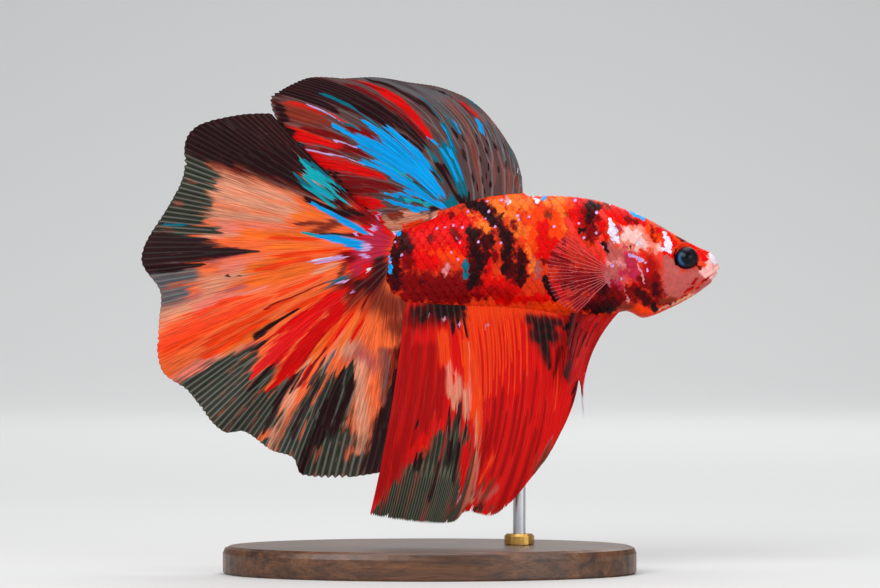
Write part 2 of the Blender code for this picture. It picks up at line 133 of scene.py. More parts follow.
HALF_WIDTH = ((-5.9, 0.9), (-3.0, 1.25), (1.0, 1.95), (6.0, 2.65), (12.0, 3.3), (18.0, 3.65), (24.0, 3.75),
              (28.0, 3.2), (31.5, 2.45), (34.2, 1.7), (36.4, 1.15))
PINCH_ABOVE = ((-5.9, 1.1), (8.0, 1.12), (20.0, 0.95), (31.0, 0.78), (36.4, 0.9))
PINCH_BELOW = ((-5.9, 1.1), (10.0, 1.2), (19.0, 1.0), (26.0, 0.8), (36.4, 0.9))
SKIN_SIDES = 400
TRUNK_DEPTH, HEAD_DEPTH = 0.13, 0.02  # how far the skin lies inside the solids
EYE_X, EYE_Z, EYE_RADIUS = 32.2, 39.6, 1.42
MOUTH_TIP, MOUTH_CORNER = (36.6, 38.3), (34.6, 36.9)
NOSTRILS = ((35.0, 39.75, 0.11), (34.3, 40.35, 0.09))  # x, z and size
GILL_CENTRE, GILL_RADII, GILL_POWERS = (26.9, 36.4), (2.35, 3.95), (2.3, 2.2)
CHEEK_CENTRE, CHEEK_RADII = (31.2, 37.4), (2.35, 3.7)
# Ridges and grooves: (height, distance, width). A groove's height is negative.
LIPS = ((-0.24, 0.0, 0.075), (0.1, 0.26, 0.17), (-0.05, 0.58, 0.1))
ORBIT, SOCKET = (0.34, 1.95, 0.5), (0.75, EYE_RADIUS, 0.2)  # (depth, radius, width of the wall)
ORBIT_RIM = ((0.05, 1.6, 0.1), (-0.05, 2.15, 0.2))
CHEEK_EDGE = ((0.05, 0.94, 0.04), (-0.09, 1.01, 0.022))
FACE_LINES = (  # from x, z to x, z, and what runs along that line
    ((*MOUTH_CORNER, 33.7, 35.7), ((-0.1, 0.0, 0.09), (0.05, 0.25, 0.15))),  # the fold behind the mouth
    ((30.2, 34.6, 34.0, 36.4), ((-0.05, 0.0, 0.1),)),  # the lower jaw's line
    ((30.6, 41.6, 33.4, 41.1), ((0.05, 0.0, 0.25),)),  # the brow
)
COVER_RIDGE = ((25.7, 39.7, 26.5, 37.4), (26.5, 37.4, 27.4, 36.0))
COVER_RIDGE_RELIEF = ((0.07, 0.0, 0.16), (-0.03, 0.34, 0.12))
COVER_HEIGHT, SLIT_DEPTH, SLIT_WIDTH = 0.11, 0.14, 0.09  # the gill cover's free edge and the slit behind it
LOBE_HEIGHT, LOBE_WIDTH = 0.24, 0.75  # the fleshy root of a pectoral fin
FIN_RIDGE_WIDTH, FIN_RIDGE_RUN = 0.42, 0.8
PECTORAL_ROOT = (22.7, 37.6)
DORSAL_BASE_X, ANAL_BASE_X = (11.7, 1.5), (17.8, -3.1)
GAP = 0.3  # from the body's surface to a fin's base
HEAD_RING, TRUNK_RING, HEAD_REAR = 0.085, 0.36, 24.2  # between two rings, and where the coarser ones start

BODY_GROUND, GROUND_ROUGHNESS = (226, 52, 18), 0.42
# The pigments, in the order they lie over each other: (colour, opacity in a thin fin, roughness, how soft its
# edges are, how far the pale rays show through it). A few body strokes of white, blush and maroon are painted
# highlights and painted shade, not pigment; each is noted where it stands.
PIGMENTS = {
    "flesh": (tint(192, 90, 84), 0.95, 0.42, 4.5, 0.05),
    "clay": (tint(134, 76, 68), 0.9, 0.45, 6.0, 0.25),
    "peach": (tint(226, 152, 120), 0.96, 0.45, 5.5, 0.08),
    "salmon": (tint(246, 132, 112), 0.96, 0.44, 5.0, 0.03),
    "amber": (tint(250, 112, 36), 0.97, 0.42, 4.0, 0.05),
    "cream": (tint(249, 186, 178), 0.96, 0.4, 4.0, 0.0),
    "orange": (tint(250, 62, 8), 0.97, 0.42, 4.0, 0.03),
    "red": (tint(226, 5, 4), 0.98, 0.42, 2.2, 0.0),
    "coral": (tint(240, 54, 42), 0.97, 0.42, 4.5, 0.0),
    "rose": (tint(190, 36, 68), 0.97, 0.42, 4.0, 0.0),
    "brick": (tint(168, 2, 3), 0.98, 0.42, 5.5, 0.0),
    "crimson": (tint(122, 1, 5), 0.98, 0.44, 4.5, 0.02),
    "maroon": (tint(64, 3, 8), 0.97, 0.44, 3.6, 0.08),
    "slate": (tint(84, 92, 98), 0.88, 0.5, 5.0, 0.5),
    "smoke": (tint(42, 48, 38), 0.93, 0.5, 3.2, 0.46),
    "rust": (tint(136, 44, 24), 0.94, 0.45, 4.0, 0.06),
    "black": (tint(34, 8, 12), 0.97, 0.42, 2.4, 0.06),
    "scarlet": (tint(222, 2, 3), 0.98, 0.42, 1.6, 0.0),
    "blush": (tint(226, 136, 142), 0.97, 0.42, 4.5, 0.0),
    "teal": (tint(3, 108, 128), 0.97, 0.38, 1.6, 0.0),
    "turquoise": (tint(14, 166, 180), 0.98, 0.36, 1.4, 0.0),
    "azure": (tint(2, 158, 232), 1.0, 0.34, 1.1, 0.0),
    "lavender": (tint(206, 160, 214), 1.0, 0.38, 1.2, 0.0),
    "white": (tint(230, 222, 240), 1.0, 0.38, 1.2, 0.0),
}
BODY_MARKS = {
    "flesh": (
        (22.4, 41, 0.6, 23.2, 37.4, 1.2), (24, 40.6, 0.6, 24.2, 38.8, 0.6),
        (33.2, 35.4, 0.35, 35.4, 36.9, 0.4), (30.3, 39.2, 1.1, 30.6, 35.8, 1.6),
        (31.8, 36.6, 1.4, 34, 37.7, 0.9), (34.4, 38.9, 0.7, 34.8, 37.8, 0.6),
        (29.3, 40.2, 0.5, 29.5, 38.6, 0.5), (27.7, 44.1, 0.3, 30.2, 42.9, 0.3),
        (13.2, 39.4, 0.6, 13.6, 37.2, 0.5), (23.9, 40.6, 0.6, 24.8, 40.6, 0.5),
        (13, 45.9, 0.3, 13.2, 44.9, 0.3),
    ),
    "peach": (
        (28.8, 33.15, 0.15, 33.2, 35.1, 0.15), (30.4, 42.9, 0.2, 31.2, 42.2, 0.2),
        (15.4, 46.2, 0.3, 15.7, 45.4, 0.2),
    ),
    "salmon": (
        (26.4, 42.9, 0.6, 27.3, 41.4, 0.5), (24.2, 44.1, 0.5, 24.4, 41.2, 0.6),
        (25.2, 43.8, 0.5, 26.6, 43.4, 0.4), (27.4, 41.6, 0.5, 28.6, 40.4, 0.45),
        (23.9, 41.6, 0.5, 25.2, 40.8, 0.5), (28.6, 42, 0.2, 28.9, 41.4, 0.2),
    ),
    "amber": (
        (8.3, 46.3, 0.9, 8.9, 45, 0.8), (10.4, 46.8, 0.9, 12.4, 46.2, 0.9),
        (16.2, 46.8, 1, 16.9, 45.4, 0.8), (5.2, 44.7, 0.5, 7.2, 43.2, 0.6),
        (12.3, 43.2, 0.5, 12.5, 40.4, 0.4), (10.2, 45.2, 0.6, 11.2, 42.6, 0.5),
        (14.2, 46.8, 0.5, 14.6, 46.4, 0.4), (12.7, 40, 0.25, 12.9, 37.6, 0.3),
        (16.6, 43.9, 0.35, 16.9, 43, 0.3),
    ),
    "cream": (
        (24.7, 43.3, 0.5, 24.8, 42.2, 0.6), (25.4, 42.4, 0.6, 26.2, 41.7, 0.7),
        (26.2, 41.3, 0.5, 26.8, 41.1, 0.4), (25.6, 40.7, 0.3, 26, 40.1, 0.25),
        (28.6, 41, 0.35, 29, 40.4, 0.35), (34.9, 39.5, 0.45, 35.2, 38, 0.6),
        (35.6, 40, 0.6, 36.5, 38.6, 0.8), (36.4, 38.6, 0.7, 35.8, 37.2, 0.6),
        (34.2, 37.8, 0.45, 35.4, 37.2, 0.4), (26, 43, 0.4, 26.6, 42.8, 0.3),
    ),
    "orange": (
        (13.1, 45.3, 0.9, 13.5, 40.6, 1), (15.7, 44.4, 0.9, 15.9, 41.4, 0.8),
        (13.5, 33.8, 0.5, 17.6, 33.6, 0.6), (27.4, 43.6, 0.7, 28.3, 42.2, 0.7),
        (30.1, 42.6, 0.4, 31.2, 42, 0.3), (17.3, 46.4, 0.5, 17.8, 43.6, 0.5),
        (25.9, 33.4, 0.4, 27.6, 32.8, 0.5), (0.4, 41, 1.2, 3.4, 40.4, 1.2),
        (34.1, 38.9, 0.3, 34.4, 38.6, 0.25), (19.4, 41.4, 0.5, 21.2, 41.6, 0.5),
        (23, 44.6, 0.5, 23.6, 44.8, 0.4),
    ),
    "red": (
        (17.7, 45, 0.6, 18.4, 41.8, 0.7), (15.6, 41.2, 0.8, 16.8, 39.6, 0.6),
        (8.6, 34.3, 0.5, 16, 34.6, 0.5), (-3.6, 42.2, 1.5, 0.4, 42.2, 2.2), (0.4, 44, 1.2, 4.6, 44, 1.2),
        (-2.2, 39.6, 1.4, 0.6, 38.9, 0.9), (2.6, 42.4, 1.2, 4.6, 41, 1.2),
        (18.8, 46.8, 0.9, 18.9, 44.2, 0.9), (14.2, 43.8, 0.7, 14.3, 40.2, 0.9),
        (22.4, 45.8, 1.1, 24.3, 44.9, 1), (24.1, 44.1, 0.4, 26.7, 44, 0.4),
        (21.4, 44.4, 0.7, 21.6, 42.4, 0.5), (33.9, 40.2, 0.4, 34.5, 39.5, 0.4),
        (32.3, 41.7, 0.28, 34.8, 40.4, 0.25), (28.6, 43.15, 0.28, 29.2, 42.9, 0.2),
        (30.1, 42.6, 0.2, 30.6, 41.3, 0.36), (27.2, 40.1, 0.4, 27.7, 39, 0.5),
        (29.2, 40.3, 0.3, 30.5, 39.9, 0.3), (25.2, 36.2, 0.35, 26.7, 36.3, 0.35),
        (24.9, 35.6, 0.3, 24.9, 34.4, 0.25), (20.6, 39.6, 0.9, 21.4, 38.9, 0.7),
        (25.9, 40.2, 0.2, 26.6, 40, 0.2), (5.4, 36, 1.2, 10.4, 36, 1.2), (7.2, 40.6, 0.5, 7.4, 37.6, 0.6),
        (-0.6, 44.4, 0.6, -0.6, 43.8, 0.6), (15, 36.2, 0.8, 16.4, 35, 0.8),
        (27, 38.3, 0.35, 27.3, 37.4, 0.4),
    ),
    "coral": (
        (28.7, 40.2, 0.3, 28.9, 38.8, 0.3), (21.6, 40.6, 0.4, 21.8, 38.8, 0.4),
        (17.4, 44.4, 0.4, 18.2, 41.4, 0.8), (15.4, 39, 0.6, 16.8, 41.4, 0.6),
        (20.7, 43.6, 0.5, 21.3, 41.2, 0.6), (19.2, 41, 0.6, 20.6, 39.6, 0.6),
        (21.6, 45.4, 0.4, 22.2, 44.4, 0.3),
    ),
    "rose": (
        (24.8, 40.2, 0.45, 25, 37.6, 0.6), (25.2, 39.2, 0.5, 25.7, 37.3, 0.6),
        (24, 38, 0.3, 24.1, 37.4, 0.4), (26.4, 38.2, 0.3, 26.9, 37, 0.3),
        (23.4, 43.6, 0.3, 23.7, 43.1, 0.25), (22.8, 36.4, 0.6, 23.8, 36, 0.6),
        (24, 41.4, 0.3, 24.4, 40.8, 0.3), (-5.4, 42.6, 0.6, -5.2, 40.8, 0.6),
    ),
    "brick": (
        (31.9, 35.3, 0.14, 32.8, 35.8, 0.22), (32.9, 36.3, 0.2, 33.5, 36.9, 0.24),
        (34.2, 36.7, 0.16, 34.8, 37.1, 0.2), (31.5, 34.75, 0.12, 32.2, 34.95, 0.14),
        (33.3, 35.8, 0.1, 33.7, 36, 0.12), (32.2, 36.4, 0.08, 32.3, 36.5, 0.08),
        (27.6, 38.8, 0.9, 27.9, 36.4, 0.95), (6.4, 35.6, 0.7, 9.8, 35, 0.7),
    ),
    "crimson": (
        (-3, 36.4, 1.7, 4.2, 36.2, 1.7), (-2.8, 34.9, 0.8, 4.4, 34.7, 0.9), (5.4, 35, 0.4, 7, 34.6, 0.4),
        (-3, 42.2, 0.9, -2.6, 38.8, 0.9), (28.3, 37.2, 0.5, 28.2, 36, 0.7),
        (28, 36, 0.95, 28.6, 34.9, 0.9), (25.2, 35.8, 0.9, 27.6, 34.2, 0.9),
        (24.9, 35, 0.5, 25.6, 34.3, 0.5), (26.4, 37, 0.6, 27, 36.2, 0.7),
        (18.8, 33.9, 1, 23.6, 34.4, 1.4), (22.6, 35.6, 0.9, 23.8, 35, 0.8), (17, 37.4, 1, 21, 36.2, 1.5),
        (14.4, 39.2, 0.4, 15.8, 38.9, 0.5), (24.3, 44.6, 0.35, 25.9, 44.1, 0.3),
        (27.85, 43.5, 0.26, 27.85, 42.9, 0.28), (27.9, 42.3, 0.24, 28.3, 41.8, 0.24),
        (20, 45.6, 1.2, 20.2, 42, 0.8), (-0.1, 42.3, 0.4, 0, 41.9, 0.4), (3, 42.8, 0.5, 3.8, 42, 0.4),
        (8.1, 40.4, 0.4, 8.2, 39.2, 0.4), (-5.6, 40.6, 0.9, -4.6, 36.4, 1.1),
        (17, 45.2, 0.28, 17.2, 44.7, 0.28), (10.2, 44.5, 0.3, 10.9, 43, 0.35),
        (16.9, 41.9, 0.22, 17, 41.3, 0.2), (10.2, 38.4, 0.5, 10.6, 36.8, 0.7),
        (33.5, 38.9, 0.25, 33.9, 38.3, 0.25), (28.6, 34.3, 0.5, 30, 34, 0.4),
        (2.4, 45, 0.3, 3, 45.2, 0.3), (16.2, 39.6, 0.5, 17, 39, 0.5),
    ),
    "rust": (
        (29, 34.2, 0.35, 30.8, 34.4, 0.28), (23.5, 33.2, 0.3, 25.4, 33.6, 0.28),
        (14.9, 45.4, 0.3, 15.2, 44.4, 0.28), (16.9, 45, 0.3, 17.1, 44.8, 0.28),
        (31.2, 42.2, 0.2, 32.2, 41.7, 0.22), (4, 45.9, 0.35, 5.4, 46.2, 0.35),
        (22, 46.4, 0.3, 22.6, 46, 0.3),
    ),
    "black": (
        (4.8, 46.6, 0.45, 6.6, 45.9, 0.6), (6.6, 45.9, 0.5, 7.6, 44.7, 0.55),
        (7.6, 44.7, 0.5, 8.9, 43.3, 0.4), (9.1, 43, 0.4, 9.9, 41.6, 0.4), (9.9, 41, 0.4, 9.5, 39.4, 0.3),
        (9.5, 38.6, 0.35, 9.2, 37.7, 0.2), (4.6, 43, 0.25, 5.6, 42.5, 0.4),
        (5.5, 42.2, 0.25, 5.4, 41.2, 0.2), (5.6, 40.5, 0.3, 6.5, 39.6, 0.45),
        (6.4, 39.2, 0.45, 5.8, 37.9, 0.4), (5.6, 37.4, 0.4, 5.2, 36.2, 0.4),
        (7.7, 42.5, 0.25, 7.7, 41.2, 0.2), (11.8, 40.5, 0.15, 11.6, 39, 0.22),
        (11.5, 38.3, 0.28, 11.2, 36.9, 0.22), (6.9, 41.6, 0.2, 7, 40.9, 0.15),
        (14.6, 37, 0.4, 14.9, 35.8, 0.4), (14.9, 35.6, 0.3, 16, 34.5, 0.35),
        (20.2, 46.5, 0.3, 21.2, 46, 0.35), (19.8, 45.6, 0.28, 19.9, 44.6, 0.2),
        (20.4, 44.1, 0.16, 20.6, 43.4, 0.16), (-3.7, 42.3, 0.2, -3.2, 40.8, 0.22),
        (-4.2, 40.2, 0.22, -3.9, 38.8, 0.28), (-4.4, 37.8, 0.2, -4, 36.9, 0.26),
        (-2.8, 41.3, 0.12, -2.5, 40.7, 0.12), (21.9, 41.6, 0.28, 22.15, 40.2, 0.26),
        (25.02, 41.15, 0.15, 25.05, 41.05, 0.15), (28.05, 33.6, 0.32, 28.2, 33.3, 0.36),
        (20.4, 33, 0.4, 22.8, 33.2, 0.4), (17.3, 36.2, 0.25, 17.4, 36, 0.25),
        (31.3, 42.1, 0.1, 31.9, 41.8, 0.12), (18.9, 43.1, 0.2, 19.3, 43.2, 0.2),
        (8.7, 45.2, 0.2, 9, 44.6, 0.2),
    ),
    "maroon": (
        # The first two strokes, round the rear of the eye, are painted shade in the orbit.
        (30.85, 40.7, 0.12, 30.6, 39.6, 0.14), (30.6, 39.6, 0.14, 30.9, 38.7, 0.12),
        (-3.6, 42.4, 0.6, -2.8, 40.4, 0.6), (26, 35.5, 0.45, 27.2, 34.2, 0.55),
        (28.2, 36.4, 0.3, 28.2, 35.2, 0.5), (19.8, 33.4, 0.6, 23.2, 33.8, 0.8),
        (20.4, 46.1, 0.6, 20, 44, 0.5), (-4.6, 42, 0.7, -4.4, 36.4, 1),
        (-1.4, 36.4, 0.16, 0.6, 36.4, 0.16), (5.6, 42.6, 1, 5.8, 37, 1.05), (9.8, 42, 0.85, 9.6, 38, 0.8),
        (11.5, 40.2, 0.7, 11.4, 36.8, 0.75), (7, 46, 0.7, 8.8, 43.6, 0.75),
        (6.8, 42.4, 0.5, 7.2, 39.6, 0.5), (20.2, 37, 0.5, 21.6, 35.6, 0.8),
        (17, 36.2, 0.5, 17.8, 36, 0.5), (7.4, 42.4, 0.6, 7.6, 41, 0.5),
    ),
    "blush": (
        # The two thin strokes from (25.9, 39) to (26.9, 36.5) are a painted highlight along the ridge of the
        # gill cover.
        (22.5, 39.1, 0.3, 24, 38.9, 0.3), (25.9, 39, 0.1, 26.35, 37.8, 0.12),
        (26.35, 37.8, 0.12, 26.9, 36.5, 0.08), (24.7, 37.4, 0.1, 24.45, 36.4, 0.12),
        (24.45, 36.4, 0.12, 24.5, 35, 0.1), (24.5, 35, 0.1, 24.8, 34.1, 0.08),
        (2.1, 38.6, 0.3, 2.1, 37.6, 0.3), (22.2, 37.6, 0.35, 22.3, 36.6, 0.35),
        (9.6, 47.1, 0.3, 9.8, 46.5, 0.3),
    ),
    "teal": ((4.55, 38.8, 0.42, 4.45, 37.5, 0.5), (6.3, 46.9, 0.2, 6.7, 46.8, 0.2)),
    "azure": (
        (14.2, 47.1, 0.3, 14.7, 47, 0.3), (25.1, 45.6, 0.3, 26.8, 44.6, 0.3),
        (-4.1, 42.9, 0.3, -3.7, 42.8, 0.35), (-4.9, 39.7, 0.2, -5.15, 38.8, 0.24),
        (-5.1, 38.6, 0.22, -4.75, 37.9, 0.18),
    ),
    "lavender": (
        (-5.1, 43.1, 0.4, -4.8, 42.9, 0.4), (25.3, 39.9, 0.22, 25.9, 39.6, 0.2),
        (26.3, 39.4, 0.22, 26.5, 39.3, 0.2), (26.9, 39, 0.17, 27, 38.9, 0.15),
        (27.25, 38.1, 0.15, 27.3, 38.05, 0.15), (22.6, 38.9, 0.2, 22.9, 38.5, 0.2),
        (21.5, 41.4, 0.14, 21.6, 41.1, 0.12), (24.8, 40.2, 0.12, 25, 39.9, 0.1),
        (3.2, 42.4, 0.16, 3.4, 42.2, 0.16),
    ),
    "white": (
        # The thin strokes on the ridge of the back, from x 9.7 to 16 and from 22.4 to 27.3, and the stroke on
        # top of the snout from x 35.3 to 35.8 are painted highlights where the top light falls; the rest are
        # white blotches.
        (22.45, 44.25, 0.3, 22.8, 43.2, 0.42), (22.95, 42.9, 0.48, 23.2, 41.9, 0.52),
        (29.4, 42.7, 0.28, 29.75, 41.6, 0.46), (29.8, 41.5, 0.46, 29.95, 40.6, 0.36),
        (29.2, 40.75, 0.22, 29.8, 40.5, 0.26), (26.1, 41.5, 0.25, 26.4, 41.4, 0.2),
        (35.3, 40.1, 0.25, 35.8, 39.2, 0.4), (9.7, 47, 0.2, 9.8, 46.6, 0.25),
        (12.9, 47.2, 0.2, 13.4, 46.8, 0.3), (12.4, 47.7, 0.15, 16, 47.75, 0.1),
        (24.6, 46.05, 0.14, 27.3, 44.75, 0.1), (22.4, 46.6, 0.14, 22.7, 46.4, 0.14),
    ),
}
SINGLE_SPOTS = (
    (7, 44.5), (11.2, 44.4), (12.4, 44.7), (1.9, 43.4), (0.9, 43.3), (3, 43.7), (4.1, 43.4), (3.8, 41.5),
    (2.66, 40.2), (4.8, 45.4), (8.2, 43.5), (6.1, 41.6), (8.9, 41.5), (7.2, 46.7), (-3.5, 40),
    (20.9, 45.3), (18.6, 43.9), (19.2, 42.1), (20.8, 42.7), (15.5, 43.5), (23.9, 37), (-6, 44.8),
    (-4.4, 41.6), (11, 44.9), (7.4, 45.4), (-5, 39), (3.5, 39.4), (9, 46.9), (18.2, 46.8),
)
SPOT_HALF = 0.17
# How the markings' edges waver along x, then along z: (size, waves per mm in x, in z, start), all in radians.
EDGE_WAVES = (((0.16, 1.7, 3.1, 0.0), (0.12, -3.9, 6.3, 1.0), (0.07, 9.0, 13.0, 0.0)),
              ((0.16, 3.3, -1.9, 2.0), (0.12, 6.9, 4.1, 0.0), (0.07, 14.0, -8.0, 0.0)))


def ease(share):
    """A smooth step from 0 to 1."""
    share = np.clip(share, 0.0, 1.0)
    return share * share * (3 - 2 * share)


def between(ends, share):
    return ends[0] + (ends[1] - ends[0]) * share


def shader_node(tree, kind, inputs=(), **settings):
    """A node with these settings. An input takes a value or another node's socket."""
    made = tree.nodes.new("ShaderNode" + kind)
    for name, value in settings.items():
        setattr(made, name, value)
    for socket, value in dict(inputs).items():
        if isinstance(value, bpy.types.NodeSocket):
            tree.links.new(value, made.inputs[socket])
        else:
            made.inputs[socket].default_value = value
    return made


def maths(tree, operation, *values):
    """This operation on one, two or three values or sockets."""
    return shader_node(tree, "Math", dict(enumerate(values)), operation=operation).outputs[0]


def stretched(tree, vector, ways):
    return shader_node(tree, "VectorMath", {0: vector, 1: ways}, operation="MULTIPLY").outputs[0]


def scaled(tree, colour, factor):
    return shader_node(tree, "VectorMath", {0: colour, "Scale": factor}, operation="SCALE").outputs[0]


def laid_over(tree, mask, under, upper, data_type="FLOAT"):
    """The upper value or colour laid over the one under it, where the mask is 1."""
    inputs = {"Factor": mask, "A": under, "B": upper}
    return shader_node(tree, "Mix", inputs, data_type=data_type).outputs["Result"]


def remapped(tree, value, start, end, **settings):
    """The value, from between the pair start, as the same share of the way between the pair end."""
    pairs = {"From Min": start[0], "From Max": start[1], "To Min": end[0], "To Max": end[1]}
    return shader_node(tree, "MapRange", {"Value": value, **pairs}, **settings).outputs["Result"]


def noise(tree, vector, scale, detail, roughness=0.5, distortion=0.0):
    return shader_node(tree, "TexNoise", {"Vector": vector, "Scale": scale, "Detail": detail,
                                          "Roughness": roughness, "Distortion": distortion}).outputs


def trait_of(tree, name, output="Fac"):
    """A value that joined_piece() stored at each point of the mesh."""
    return shader_node(tree, "Attribute", attribute_name=name).outputs[output]


def textured(tree, shader, height, strength, distance):
    """Fine relief on the surface, of this height in metres."""
    bump = shader_node(tree, "Bump", {"Height": height, "Strength": strength, "Distance": distance})
    tree.links.new(bump.outputs["Normal"], shader.inputs["Normal"])


def along(knots, t):
    """A smooth curve through (t, value, ...) knots in order of t. Several values come back as a list."""
    knots, t = np.array(knots, float), np.asarray(t, float)
    last = len(knots) - 1
    i = np.clip(np.searchsorted(knots[:, 0], t, side="right") - 1, 0, last - 1)
    before, start = knots[np.maximum(i - 1, 0)], knots[i]
    end, after = knots[i + 1], knots[np.minimum(i + 2, last)]
    step = end[..., :1] - start[..., :1]
    share = np.clip((t[..., None] - start[..., :1]) / step, 0.0, 1.0)
    leave = (end - before)[..., 1:] / (end - before)[..., :1] * step
    arrive = (after - start)[..., 1:] / (after - start)[..., :1] * step
    bend = share * (1 - share) * (leave * (1 - share) - arrive * share)
    values = np.moveaxis(start[..., 1:] + (end - start)[..., 1:] * ease(share) + bend, -1, 0)
    return values[0] if len(values) == 1 else values


def bell(distance, width):
    return np.exp(-((distance / width) ** 2))


def relief(distance, waves):
    """The height of these ridges and grooves at this distance."""
    return sum(height * bell(distance - place, width) for height, place, width in waves)


def stroke_distance(a, b, stroke, stretch=1.0):
    """Distance from a stroke's middle line, as a share of its half width there."""
    a0, b0, w0, a1, b1, w1 = stroke
    da, db = a1 - a0, (b1 - b0) * stretch
    share = np.clip(((a - a0) * da + (b - b0) * stretch * db) / max(da * da + db * db, 1e-9), 0.0, 1.0)
    away = np.hypot(a - a0 - share * da, (b - b0) * stretch - share * db)
    return away / between((w0, w1), share)


def line_distance(a, b, line):
    a0, b0, a1, b1 = line
    return stroke_distance(a, b, (a0, b0, 1.0, a1, b1, 1.0))


def marks_at(marks, a, b, stretch=1.0):
    """Each pigment's strength: 1 on a stroke's middle line, 0.5 at its edge. Black fades to maroon."""
    found = {}
    for pigment, strokes in marks.items():
        nearest = np.min([stroke_distance(a, b, stroke, stretch) for stroke in strokes], axis=0)
        found[pigment] = np.clip(1.0 - 0.5 * nearest, -0.2, 1.0)
    found["maroon"] = np.maximum(found.get("maroon", -0.2), found["black"] + 0.16)
    return found


def end_taper(x):
    """How the section shrinks over the rounded snout and over the round end of the tail stalk."""
    front = np.clip((x - SNOUT_X + SNOUT_ROUND) / SNOUT_ROUND, 0.0, 1.0)
    rear = np.clip((STALK_X + STALK_ROUND - x) / STALK_ROUND, 0.0, 1.0)
    return np.maximum(1 - front ** 2, 0.0) ** 0.75 * np.maximum(1 - rear ** 2, 0.0) ** 0.5


def body_point(x, turn):
    """The solids' surface at x, as (..., 3) points. The turn is 90 degrees on the back and 0 on the left."""
    taper, middle = end_taper(x), along(WIDEST, x)
    up, out = np.sin(np.radians(turn)), np.cos(np.radians(turn))
    edge = np.where(up > 0, along(BACK, x), along(BELLY, x))
    pinch = np.where(up > 0, along(PINCH_ABOVE, x), along(PINCH_BELOW, x))
    half = along(HALF_WIDTH, x) * taper ** 0.8
    y = np.sign(out) * np.abs(out) ** pinch * half
    return np.stack((x + 0 * turn, y, middle + np.abs(up) * (edge - middle) * taper), -1)


def unit(vectors):
    return vectors / np.maximum(np.linalg.norm(vectors, axis=-1, keepdims=True), 1e-9)


round_xs, round_turns = np.linspace(STALK_X + 0.02, SNOUT_X - 0.02, 420), np.linspace(-90.0, 90.0, 181)
flank = body_point(round_xs[:, None], round_turns[None, :])
round_table = np.cumsum(np.linalg.norm(np.diff(flank, axis=1, prepend=flank[:, :1]), axis=-1), axis=1)
round_table -= round_table[:, 90:91]


def rise(x, y, z, turn):
    """How far the skin stands off the solids' surface, along its normal."""
    flank = ease(np.abs(y) / 0.9)
    off = -between((TRUNK_DEPTH, HEAD_DEPTH), ease((x - 24.0) / 1.5))
    eye = np.hypot(x - EYE_X, z - EYE_Z)
    off -= flank * sum(depth * ease((radius - eye) / wall) for depth, radius, wall in (ORBIT, SOCKET))
    off += flank * relief(eye, ORBIT_RIM)
    for nostril_x, nostril_z, size in NOSTRILS:
        pit = np.hypot(x - nostril_x, z - nostril_z) / size
        off += flank * relief(pit, ((0.06, 1.7, 0.7), (-0.16, 0.0, 1.0)))
    lips = ease((x - MOUTH_CORNER[0] + 0.4) / 0.5)
    off += lips * relief(line_distance(x, z, (*MOUTH_TIP, *MOUTH_CORNER)), LIPS)
    for line, waves in FACE_LINES:
        off += flank * relief(line_distance(x, z, line), waves)
    across, up = (np.abs(at - middle) / radius for at, middle, radius in zip((x, z), GILL_CENTRE, GILL_RADII))
    cover = (across ** GILL_POWERS[0] + up ** GILL_POWERS[1]) ** 0.45
    behind = flank * ease((GILL_CENTRE[0] + 0.6 - x) / 1.6)
    off += behind * (COVER_HEIGHT * ease((cover - 0.7) / 0.3) * ease((1.02 - cover) / 0.03))
    off -= behind * SLIT_DEPTH * bell(np.maximum(cover - 1.03, 0.0), SLIT_WIDTH) * (cover > 1.0)
    cheek = np.hypot((x - CHEEK_CENTRE[0]) / CHEEK_RADII[0], (z - CHEEK_CENTRE[1]) / CHEEK_RADII[1])
    below_eye = ease((CHEEK_CENTRE[0] - x) / 1.0) * ease((41.0 - z) / 1.5)
    off += flank * below_eye * relief(cheek, CHEEK_EDGE)
    ridge = np.minimum(*(line_distance(x, z, line) for line in COVER_RIDGE))
    off += flank * relief(ridge, COVER_RIDGE_RELIEF)
    off += LOBE_HEIGHT * flank * bell(np.hypot(x - PECTORAL_ROOT[0], z - PECTORAL_ROOT[1]), LOBE_WIDTH)
    upward = np.sin(np.radians(turn))
    for on_this_edge, (front, rear) in ((upward > 0.3, DORSAL_BASE_X), (upward < -0.3, ANAL_BASE_X)):
        run = ease((x - rear) / FIN_RIDGE_RUN + 1) * ease((front - x) / FIN_RIDGE_RUN + 1)
        off += on_this_edge * run * (GAP + TRUNK_DEPTH) * bell(y, FIN_RIDGE_WIDTH)
    return off


def skin_at(x, turn):
    """(points, outward normals) of the skin, from the solids' surface and its rise."""
    step = 0.02
    low_x, high_x = np.maximum(x - step, STALK_X + 1e-3), np.minimum(x + step, SNOUT_X - 1e-3)
    down = body_point(high_x, turn) - body_point(low_x, turn)
    sideways = body_point(x, turn + 0.5) - body_point(x, turn - 0.5)
    normals = unit(np.cross(sideways, down))
    points = body_point(x, turn)
    off = rise(*np.moveaxis(points, -1, 0), turn)
    return points + normals * off[..., None], normals


def joined_piece(name, points, faces, material, traits=None, bake_places=None):
    """A smooth mesh object of points in millimetres, with a value at each point for each trait."""
    mesh = bpy.data.meshes.new(name)
    faces = faces.tolist() if isinstance(faces, np.ndarray) else faces
    mesh.from_pydata((np.asarray(points) * MM).tolist(), [], faces)
    for trait, values in (traits or {}).items():
        values = np.asarray(values, np.float32)
        kind, field = ("FLOAT_VECTOR", "vector") if values.ndim == 2 else ("FLOAT", "value")
        mesh.attributes.new(trait, kind, "POINT").data.foreach_set(field, values.ravel())
    if bake_places is not None:
        chart = mesh.uv_layers.new(name="OFBake")
        chart.data.foreach_set("uv", np.asarray(bake_places, np.float32).ravel())
    mesh.shade_smooth()
    mesh.materials.append(material)
    made = bpy.data.objects.new(name, mesh)
    bpy.context.scene.collection.objects.link(made)
    return made


